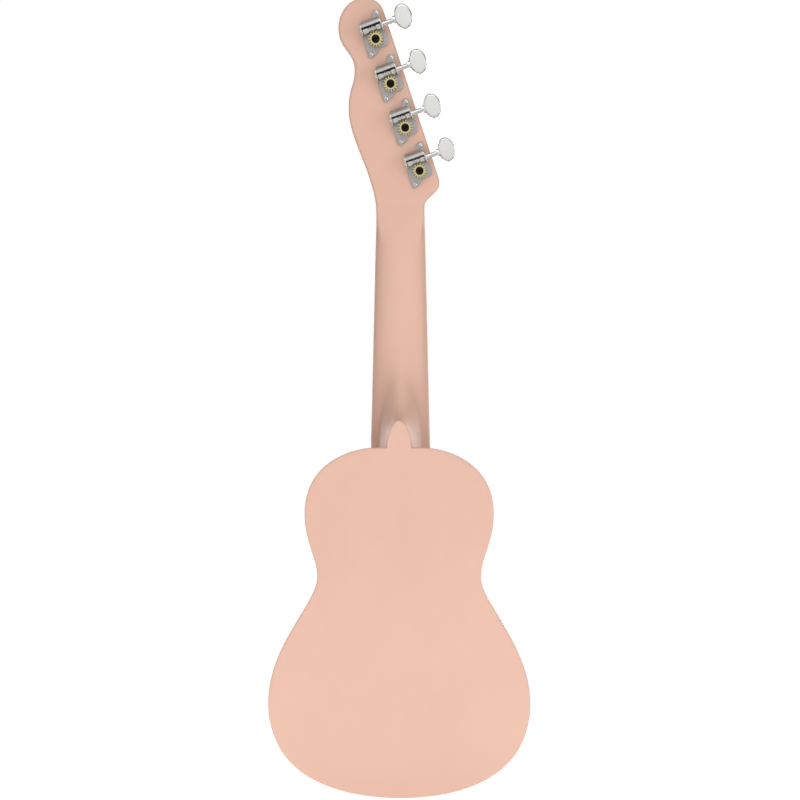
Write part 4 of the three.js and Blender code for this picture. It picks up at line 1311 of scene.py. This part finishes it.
@dataclass(frozen=True)
class Tuner:
    """One open tuner on the back of the head.

    Local x runs out along the shaft to the button, y to the head's tip, z out of the back; the origin is
    where the string post's axis leaves the wood.
    """

    name: str
    place: Placement
    worm_y: float
    worm_z: float
    head_thickness: float = 12.0
    plate_gap: float = 0.3
    plate_thickness: float = 1.0
    ear_left: float = -8.0
    ear_right: float = 7.2
    worm_radius: float = 3.1
    worm_core: float = 1.9
    worm_turns: float = 2.6
    collar_radius: float = 2.6
    collar_from: float = 2.8
    thread_half: float = 0.46
    crest_half: float = 0.2
    shaft_radius: float = 1.85
    journal: float = 1.3
    teeth: int = 15
    gear_tip: float = 5.25
    gear_pitch: float = 4.7
    gear_root: float = 3.7
    gear_thickness: float = 3.0
    button_reach: float = 22.5
    button_length: float = 12.3
    button_width: float = 16.9
    button_depth: float = 5.4
    post_radius: float = 3.0
    post_waist: float = 2.55
    post_rise: float = 13.0
    ferrule_radius: float = 4.2
    flange_radius: float = 4.9
    screw_radius: float = 2.8
    hood_start: float = 2.0
    hood_reach: float = 4.9
    hood_taper: float = 1.2

    def base_outline(self) -> Array:
        """The plate's outline: straight inner edge, stepped foot and a tab for the upper screw."""
        corners = [(-7.4, 12.6), (-8.2, 2.0), (-8.5, -8.7), (-7.4, -10.4), (-4.4, -9.5), (-1.4, -8.3),
                   (-0.7, -6.9),
                   (0.6, -6.3), (5.9, -5.9), (8.2, -3.9), (8.5, 0.4), (7.4, 4.0), (7.2, 11.6), (8.3, 14.9),
                   (8.2, 17.7), (6.0, 18.9), (3.9, 17.6), (2.3, 14.6)]
        return filleted(corners, 1.1, 5)

    def crest(self) -> float:
        """Height of the hood."""
        return self.worm_z + self.worm_radius + self.plate_thickness + self.plate_gap

    def hood(self) -> Skin:
        """The hood: a strip bent over the worm, narrowing to its foot; its section is a quarter ellipse."""
        angle = np.linspace(0, np.pi / 2, 15)

        def curve(shrink: float) -> Array:
            """The section's outer or inner line."""
            return np.stack([self.worm_y + self.hood_start + (self.hood_reach - shrink) * np.cos(angle),
                             self.plate_gap + (self.crest() - self.plate_gap - shrink) * np.sin(angle)],
                             axis=1)

        section = np.vstack([curve(0), curve(self.plate_thickness)[::-1]])
        ends = np.array([-1, -0.985, -0.95, -0.6, 0, 0.6, 0.95, 0.985, 1.0])
        ease = np.array([0.35, 0.12, 0, 0, 0, 0, 0, 0.12, 0.35])
        centre = section.mean(axis=0)
        shape = section[None] + (centre - section)[None] * (ease * 0.28)[:, None, None]
        down = np.clip((shape[..., 0] - self.worm_y - self.hood_start) / self.hood_reach, 0, 1)
        middle, half = (self.ear_left + self.ear_right) / 2, (self.ear_right - self.ear_left) / 2
        x = middle + ends[:, None] * (half - self.hood_taper * down)
        return loft(np.stack([x, shape[..., 0], shape[..., 1]], axis=-1), Cap.FACE)

    def ear(self, x: float, lean: float) -> Skin:
        """An ear that holds the shaft, its back rounded as the hood is.

        Args:
            x: Where its middle stands along the shaft.
            lean: How far it leans inwards over the hood's reach.

        Returns:
            The closed surface.
        """
        y, low, top = self.worm_y, self.plate_gap, self.crest() + 0.12
        start = y + self.hood_start
        back = arc((0, 0), 1, 0, 90, 10) * [self.hood_reach + 0.15, top - low] + [start, low]
        front = arc((y - 0.6, top - 3.0), 3.0, 90, 178, 8)
        outline = np.vstack([[[y - 3.6, low]], back, front])
        side = Placement(np.array([x, 0.0, 0.0]), np.array([[0, 1.0, 0], [0, 0, 1.0], [1.0, 0, 0]]))
        made = plate(outline, -self.plate_thickness / 2, self.plate_thickness / 2, 0.3, None,
                     4).placed(side)
        made.points[:, 0] -= lean * np.clip((made.points[:, 1] - start) / self.hood_reach, 0, 1)
        return made

    def base(self) -> list[Skin]:
        """Plate, hood and ears, which are bent from one stamping."""
        low = self.plate_gap
        flat = plate(self.base_outline(), low, low + self.plate_thickness, 0.38, None, 5)
        lip = turned(np.vstack([[(3.3, low + 0.9)], arc((3.0, low + 1.0), 0.3, 0, 90, 4),
                                [(2.4, low + 1.3)],
                                [(2.4, low + 0.9)]]), 32, Cap.LOOP)
        inset_by = self.plate_thickness / 2
        ears = [self.ear(self.ear_left + inset_by - 0.1, -self.hood_taper),
                self.ear(self.ear_right - inset_by + 0.1, self.hood_taper)]
        return [s.placed(self.place) for s in (flat.dressed(1), lip, *ears, self.hood().dressed(1))]

    def along_shaft(self, skin: Skin) -> Skin:
        """Turns a piece's own z axis to the shaft, its x to the head's tip, and places it."""
        shaft = Placement(np.array([0, self.worm_y, self.worm_z]),
                          np.array([[0, 1.0, 0], [0, 0, 1.0], [1.0, 0, 0]]))
        return skin.placed(shaft).placed(self.place)

    def worm(self) -> Skin:
        """The worm shaft: its radius is a function of length and angle.

        Along the thread the radius rises from core to crest where the length, less the angle's share of
        the lead, is near a whole number of leads; elsewhere it follows the turned steps of the shaft.
        """
        lead = 2 * np.pi * self.gear_pitch / self.teeth
        play = self.plate_thickness + self.plate_gap
        left, right, end = self.ear_left + play, self.ear_right - play, self.button_start()
        core, collar, start = self.worm_core, self.collar_radius, self.collar_from
        steps = [(self.ear_left - 0.9, self.journal - 0.3), (self.ear_left - 0.7, self.journal),
                 (left - 0.01, self.journal), (left, collar - 0.25), (left + 0.25, collar),
                 (-start - 0.25, collar),
                 (-start, core), (start, core), (start + 0.25, collar), (right - 0.25, collar),
                 (right, collar - 0.25), (right + 0.01, self.shaft_radius), (10.4, self.shaft_radius),
                 (11.4, self.shaft_radius - 0.25), (end - 0.5, self.shaft_radius - 0.25),
                 (end - 0.49, self.journal),
                 (end + 3.9, self.journal), (end + 4.0, self.journal - 0.1)]
        x = np.sort(np.concatenate([np.linspace(-start, start, 130)[1:-1], np.array(steps)[:, 0]]))
        plain = np.interp(x, *np.array(steps).T)[:, None]
        angle = np.arange(56) * 2 * np.pi / 56
        phase = (x[:, None] / lead - angle[None, :] / (2 * np.pi) + 0.5) % 1 - 0.5
        slope = (self.thread_half - np.abs(phase) * lead) / (self.thread_half - self.crest_half)
        turn = np.abs(x) / lead
        fade = 1 - smoothstep(turn, self.worm_turns / 2 - 0.28, self.worm_turns / 2)
        thread = core + (self.worm_radius - core) * np.clip(slope, 0, 1) * fade[:, None]
        radius = np.maximum(plain, np.where(np.abs(x)[:, None] < start, thread, 0))
        rings = np.stack([radius * np.cos(angle), radius * np.sin(angle),
                          np.broadcast_to(x[:, None], radius.shape)], -1)
        return self.along_shaft(loft(rings, Cap.FACE))

    def button_start(self) -> float:
        """Where the button's collar begins on the shaft."""
        return self.button_reach - self.button_length / 2 - 1

    def button(self) -> list[Skin]:
        """The button: an oval whose flat faces roll over into a rounded rim, with a stepped collar.

        Rings run from the back face's middle to the front face's: each is the elliptic outline drawn in by
        the profile's inset at the profile's height.
        """
        profile = np.array([(0, 0), (0.02, 0.5), (0.1, 1.15), (0.27, 1.8), (0.5, 2.3), (0.6, 2.45),
                            (0.75, 2.56),
                            (1.0, 2.62), (1.6, 2.655), (3, 2.68), (5, 2.69), (6, 2.7)])
        profile = np.vstack([profile[:0:-1] * [1, -1], profile]) * [1, self.button_depth / 5.4]
        scale = 1 - profile[:, 0] / (self.button_length / 2)
        rise = profile[:, 1]
        angle = np.arange(72) * 2 * np.pi / 72
        oval = np.stack([
            scale[:, None] * np.cos(angle) * self.button_width / 2,
            rise[:, None] * np.ones(72),
            self.button_reach + scale[:, None] * np.sin(angle) * self.button_length / 2,
        ], axis=-1)
        start = self.button_start()
        collar = turned([(1.75, start), (2.55, start), (2.7, start + 0.15), (2.7, start + 1.35),
                         (2.55, start + 1.5),
                         (1.9, start + 1.52), (1.9, start + 2.6), (1.75, start + 2.9)], 36)
        return [self.along_shaft(s) for s in (loft(oval), collar)]

    def gear(self) -> Skin:
        """The worm gear: a toothed outline, its teeth eased trapezoids on the root circle."""
        pitch = 2 * np.pi / self.teeth
        offsets = np.array([-0.36, -0.25, -0.19, -0.14, -0.09, 0.09, 0.14, 0.19, 0.25, 0.36]) * pitch
        reach = np.array([0.0, 0.12, 0.55, 0.94, 1.0, 1.0, 0.94, 0.55, 0.12, 0.0])
        middle = np.pi / 2 + np.arange(self.teeth)[:, None] * pitch
        angle = (middle + offsets).ravel()
        radius = np.tile(self.gear_root + (self.gear_tip - self.gear_root) * reach, self.teeth)
        outline = np.stack([radius * np.cos(angle), radius * np.sin(angle)], axis=1)
        low = self.worm_z - self.gear_thickness / 2
        return plate(outline, low, low + self.gear_thickness, 0.12, np.zeros(2), 3).placed(self.place)

    def screw(self, radius: float, height: float, seat: float, slot: float,
              spot: tuple[float, float] = (0, 0),
              turn: float = 0.0) -> Skin:
        """A slotted round head: a dome over radius and angle, lowered where it lies inside the slot.

        Args:
            radius: The head's radius.
            height: The dome's height.
            seat: Height of its underside.
            slot: Half of the slot's width.
            spot: Where it stands on the plate.
            turn: The slot's direction in degrees.

        Returns:
            The closed surface.
        """
        share = np.concatenate([np.linspace(0.02, 0.9, 26), np.cos(np.linspace(0.42, 0, 7))])
        angle = np.arange(80) * 2 * np.pi / 80
        x, y = share[:, None] * np.cos(angle), share[:, None] * np.sin(angle)
        dome = height * np.sqrt(np.maximum(1 - 0.93 * share**2, 0))[:, None] * np.ones(80)
        across = np.abs(x * math.sin(math.radians(turn)) - y * math.cos(math.radians(turn))) * radius
        cut = 0.62 * height * (1 - smoothstep(across, slot, slot + 0.14))
        z = seat + np.maximum(dome - cut, 0.1 * height)
        top = np.stack([spot[0] + x * radius, spot[1] + y * radius, z], axis=-1)
        skirt = top[-1] * [1, 1, 0] + [0, 0, seat]
        return loft(np.concatenate([top, [skirt]]), Cap.FAN).placed(self.place)

    def post(self) -> Skin:
        """The string post, turned: waisted in front for the string, plain through the head."""
        front = -self.head_thickness
        tip, r, w = front - self.post_rise, self.post_radius, self.post_waist
        seat = self.worm_z - self.gear_thickness / 2
        profile = [(0.1, tip - 0.02), (r - 0.6, tip), *arc((r - 0.6, tip + 0.6), 0.6, -80, 0, 5),
                   (r, tip + 2.4),
                   (w + 0.22, tip + 3.2), (w, tip + 4), (w, front - 3.8), (w + 0.22, front - 3.1),
                   (r, front - 2.4),
                   (r, 0), (2.3, 0), (2.3, seat - 0.3), (1.7, seat - 0.3),
                   (1.7, seat + self.gear_thickness - 0.1)]
        return turned(profile, 40).placed(self.place)

    def ferrule(self) -> Skin:
        """The ferrule: a thin sleeve with a rounded flange on the head's face."""
        face, inner = -self.head_thickness - 0.05, self.post_radius + 0.25
        low = face - 1.2
        profile = [(inner, low + 0.2), (inner + 0.2, low),
                   *arc((self.flange_radius - 0.6, low + 0.6), 0.6, -90, 0, 6),
                   (self.flange_radius, face), (self.ferrule_radius, face),
                   (self.ferrule_radius, -self.head_thickness + 5.5), (inner, -self.head_thickness + 5.5)]
        return turned(profile, 48, Cap.LOOP).placed(self.place)

    def bore(self) -> Skin:
        """What is bored out of the head: a wide seat for the ferrule and a hole for the post."""
        seat = -self.head_thickness + 5.8
        wide, narrow = self.ferrule_radius + 0.05, self.post_radius + 0.3
        profile = [(0.1, -self.head_thickness - 1), (wide, -self.head_thickness - 1), (wide, seat),
                   (narrow, seat),
                   (narrow, 1), (0.1, 1)]
        return turned(profile, 40).placed(self.place)

    def hole_height(self) -> float:
        """Height of the string's cross hole on the post's axis."""
        return -self.head_thickness - self.post_rise + 4.6

    def build(self, bench: Bench) -> None:
        """Makes the tuner's pieces, each on the body that it turns with."""
        n, nickel = self.name, bench.palette.by_finish[Finish.NICKEL]
        bench.make(f"{n}_stamped_plate", self.base(), Finish.NICKEL, stands_for=[f"{n}_tuner_plate"],
                   materials=[nickel, bench.palette.tumbled])
        seat = self.plate_gap + self.plate_thickness - 0.05
        spots = (((6.2, 16.3), 20), ((-6.2, -7.8), 75))
        screws = [self.screw(1.55, 0.95, seat, 0.2, spot, turn) for spot, turn in spots]
        bench.make(f"{n}_mounting_screws", screws, Finish.NICKEL)
        bench.make(f"{n}_ferrule", [self.ferrule()], Finish.NICKEL, stands_for=[f"{n}_post_ferrule"])
        bench.make(f"{n}_worm", [self.worm()], Finish.NICKEL, f"{n}_button", [f"{n}_worm_shaft"])
        bench.make(f"{n}_oval_button", self.button(), Finish.CHROME, f"{n}_button", [f"{n}_tuner_button"])
        post = bench.make(f"{n}_post", [self.post()], Finish.NICKEL, f"{n}_post", [f"{n}_string_post"])
        level = self.hole_height()
        hole = rod(np.array([[-6.0, 0, level], [0, 0, level], [6.0, 0, level]]),
                   0.75, np.array([0, 0, 1.0]), 20).placed(self.place)
        bench.carve(post, [hole])
        bench.make(f"{n}_brass_gear", [self.gear()], Finish.BRASS, f"{n}_post", [f"{n}_worm_gear"])
        top = self.worm_z + self.gear_thickness / 2 + 0.1
        bench.make(f"{n}_centre_screw", [self.screw(self.screw_radius, 1.35, top, 0.3)], Finish.DARK_STEEL,
                   f"{n}_post", [f"{n}_gear_screw"])


@dataclass(frozen=True)
class Strings:
    """The four strings, each from its knot behind the saddle to its turns round the string post."""

    playing: Playing
    tuners: tuple[Tuner, ...]
    turns: float = 2.5
    pitch_gap: float = 0.15
    bite: float = 0.3
    first_turn: float = 4.6

    def knot(self, index: int, radius: float) -> Array:
        """The knot's curve: a trefoil, drawn small, whose end runs out to the saddle."""
        t = np.linspace(0.25, 2 * np.pi - 0.35, 40)
        size = (self.playing.knot_radius - radius) / 3.0
        curve = np.stack([np.sin(t) + 2 * np.sin(2 * t), np.cos(t) - 2 * np.cos(2 * t),
                          -1.1 * np.sin(3 * t)], axis=1)
        return self.playing.knot(index) + size * curve[:, [0, 2, 1]]

    def path(self, index: int) -> Array:
        """The string's middle line, from knot to post, its corners rounded."""
        play, tuner = self.playing, self.tuners[index]
        radius = play.gauges[index] / 2
        x, xn = play.across(index, play.saddle_span), play.across(index, play.nut_span)
        top, crest = play.under(0) - radius, play.under(-play.scale) - radius
        knot = self.knot(index, radius)
        tie = play.knot(index)
        rise = [x, tie[1] - 0.9, -play.scale - 3.4]
        straight = [knot[-1], rise, [x, crest, -play.scale], [xn, top, 0], [xn, top, play.nut_thickness]]
        coil = tuner.post_waist + self.bite + radius
        turn = np.linspace(0, self.turns * 2 * np.pi, int(self.turns * 28))
        front = -tuner.head_thickness - self.first_turn - (2 * radius + self.pitch_gap) * turn / (2 * np.pi)
        around = np.stack([-coil * np.cos(turn), coil * np.sin(turn), front], axis=1)
        wound = tuner.place.to_frame(around)
        hole = tuner.place.to_frame(np.array([[0.0, 0.0, tuner.hole_height()]]))
        return np.vstack([knot, rounded_path(np.array([*straight, wound[0]]), 1.2)[1:-1], wound, hole])

    def build(self, bench: Bench) -> None:
        """Makes the four strings."""
        for index, name in enumerate(self.playing.names):
            line = rod(self.path(index), self.playing.gauges[index] / 2, np.array([0.0, 1.0, 0.0]), 12)
            bench.make(f"{name}_nylon", [line], Finish.NYLON, stands_for=[f"{name}_string"])


def tuner_places() -> tuple[Tuner, ...]:
    """The four tuners, placed by the frame's own hinge axes."""
    hinges = {j["name"]: j for j in frame["joints"]}
    made = []
    for name in ("g", "c", "e", "a"):
        post, button = hinges[f"{name}_post_turn"], hinges[f"{name}_button_turn"]
        up, out = unit(np.array(post["axis"], float)), unit(np.array(button["axis"], float))
        tip = np.cross(up, out)
        start = np.array(post["pos_m"], float) / MM
        offset = np.array(button["pos_m"], float) / MM - start
        place = Placement(start, np.stack([out, tip, up]))
        made.append(Tuner(name, place, float(offset @ tip), float(offset @ up)))
    return tuple(made)


# ---------------------------------------------------------------- studio


@dataclass(frozen=True)
class Studio:
    """White studio: a pale floor with a painted glow, a bright backdrop, soft boxes either side and a camera
    at the back.
    """

    middle: float
    floor_z: float
    camera_spot: tuple[float, float, float] = (-0.014, 0.8, -0.19)
    camera_turn: float = 1.03
    lens: float = 49.69
    sensor: float = 36.0
    shift: float = 0.0919
    backdrop: float = 1.0
    floor_reach: float = 0.5
    floor_sides: int = 96
    floor_ahead: float = 0.31

    def floor(self) -> None:
        """The floor disc."""
        count, reach = self.floor_sides, self.floor_reach
        angle = np.arange(count) * 2 * np.pi / count
        across, ahead = reach * np.cos(angle), reach * np.sin(angle) + self.floor_ahead
        disc = np.stack([across, ahead, np.full(count, self.floor_z)], axis=1)
        mesh = bpy.data.meshes.new("studio_floor")
        mesh.from_pydata(disc.tolist(), [], [list(range(count))])
        mesh.materials.append(GlowingPaleFloor().build())
        piece = bpy.data.objects.new("studio_floor", mesh)
        bpy.context.scene.collection.objects.link(piece)

    def world(self) -> None:
        """The world: white where the camera looks, a studio's bright and dim zones where surfaces look."""
        world = bpy.data.worlds.new("studio")
        bpy.context.scene.world = world
        world.use_nodes = True
        nodes, links = world.node_tree.nodes, world.node_tree.links
        nodes.clear()
        out, seen = nodes.new("ShaderNodeOutputWorld"), nodes.new("ShaderNodeLightPath")
        white, lit = nodes.new("ShaderNodeBackground"), nodes.new("ShaderNodeBackground")
        white.inputs["Strength"].default_value = self.backdrop
        white.inputs["Color"].default_value = (1, 1, 1, 1)
        facing, split = nodes.new("ShaderNodeTexCoord"), nodes.new("ShaderNodeSeparateXYZ")
        ramp, mix = nodes.new("ShaderNodeValToRGB"), nodes.new("ShaderNodeMixShader")
        links.new(facing.outputs["Generated"], split.inputs[0])

        def part(axis: str, low: float, high: float) -> bpy.types.NodeSocket:
            """Share from 0 to 1 of a direction's component between two bounds."""
            share = nodes.new("ShaderNodeMapRange")
            share.inputs["From Min"].default_value, share.inputs["From Max"].default_value = low, high
            links.new(split.outputs[axis], share.inputs["Value"])
            return share.outputs["Result"]

        links.new(part("Y", -1, 1), ramp.inputs[0])
        stops = [(0.0, 0.26), (0.38, 0.16), (0.47, 0.12), (0.60, 0.11), (0.70, 0.08), (0.86, 0.10),
                 (1.0, 0.86)]
        ramp.color_ramp.elements[0].position, ramp.color_ramp.elements[1].position = stops[0][0], stops[-1][0]
        for spot, _ in stops[1:-1]:
            ramp.color_ramp.elements.new(spot)
        for element, (_, level) in zip(ramp.color_ramp.elements, stops):
            element.color = (level, level, level * 0.99, 1)
        above, lifted = nodes.new("ShaderNodeMath"), nodes.new("ShaderNodeMixRGB")
        above.operation = "MULTIPLY"
        links.new(part("Z", 0.1, 0.8), above.inputs[0])
        links.new(part("Y", 0.0, 0.5), above.inputs[1])
        links.new(above.outputs[0], lifted.inputs[0])
        links.new(ramp.outputs[0], lifted.inputs[1])
        lifted.inputs[2].default_value = (1, 1, 1, 1)
        links.new(lifted.outputs[0], lit.inputs["Color"])
        links.new(seen.outputs["Is Camera Ray"], mix.inputs[0])
        links.new(lit.outputs[0], mix.inputs[1])
        links.new(white.outputs[0], mix.inputs[2])
        links.new(mix.outputs[0], out.inputs["Surface"])

    def softbox(self, name: str, azimuth: float, height: float, distance: float, size: tuple[float, float],
                power: float) -> None:
        """A soft box that faces the instrument's middle.

        Args:
            name: The light's name.
            azimuth: Degrees from the back towards the first-string side.
            height: Metres above the middle.
            distance: Metres out from the axis.
            size: Width and height in metres.
            power: Watts.
        """
        light = bpy.data.lights.new(name, "AREA")
        light.shape, light.size, light.size_y, light.energy = "RECTANGLE", size[0], size[1], power
        piece = bpy.data.objects.new(name, light)
        bpy.context.scene.collection.objects.link(piece)
        turn = math.radians(azimuth)
        spot = Vector((distance * math.sin(turn), distance * math.cos(turn), self.middle + height))
        piece.location = spot
        piece.visible_camera = False
        piece.rotation_euler = (Vector((0, 0, self.middle)) - spot).to_track_quat("-Z", "Y").to_euler()

    def camera(self) -> None:
        """The camera: level, behind and below the instrument's middle, its lens shifted to take it all in."""
        lens = bpy.data.cameras.new("camera")
        lens.lens, lens.sensor_width, lens.shift_y = self.lens, self.sensor, self.shift
        piece = bpy.data.objects.new("camera", lens)
        bpy.context.scene.collection.objects.link(piece)
        piece.location = self.camera_spot
        piece.rotation_euler = (math.radians(90), 0, math.radians(180 + self.camera_turn))
        bpy.context.scene.camera = piece

    def build(self) -> None:
        """Builds floor, world, lights and camera."""
        bpy.context.scene.view_settings.view_transform = "Standard"
        self.floor()
        self.world()
        self.softbox("left_box", 55, -0.1, 1.5, (0.75, 1.3), 3.6)
        self.softbox("right_box", -55, -0.1, 1.5, (0.6, 1.2), 6.6)
        self.softbox("high_box", 0, 0.9, 1.1, (1.2, 0.6), 2.6)
        self.softbox("front_left_box", 166, 0.3, 1.6, (0.9, 1.4), 15)
        self.softbox("front_right_box", -160, 0.3, 1.6, (0.9, 1.4), 12)
        self.camera()


def main() -> None:
    """Builds every piece and the studio."""
    logging.basicConfig(level=logging.INFO, format="%(message)s")
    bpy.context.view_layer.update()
    bench = Bench(Palette())
    soundboard_low, soundboard_high = box_mm("soundboard")
    back_high = box_mm("back_plate")[1]
    joint_z, tail_z = float(soundboard_high[2]), float(soundboard_low[2])
    depth = float(back_high[1])
    body = Body(joint_z, tail_z, depth, float(soundboard_high[0]))
    body.build(bench)
    tuners = tuner_places()
    Neck(joint_z, depth, body.tab).build(bench, [t.bore() for t in tuners])
    playing = Playing(joint_z)
    playing.build(bench)
    for tuner in tuners:
        tuner.build(bench)
    Strings(playing, tuners).build(bench)
    Studio(middle=-0.13974, floor_z=-0.4085).build()
    bpy.context.view_layer.update()


if __name__ == "__main__":
    main()
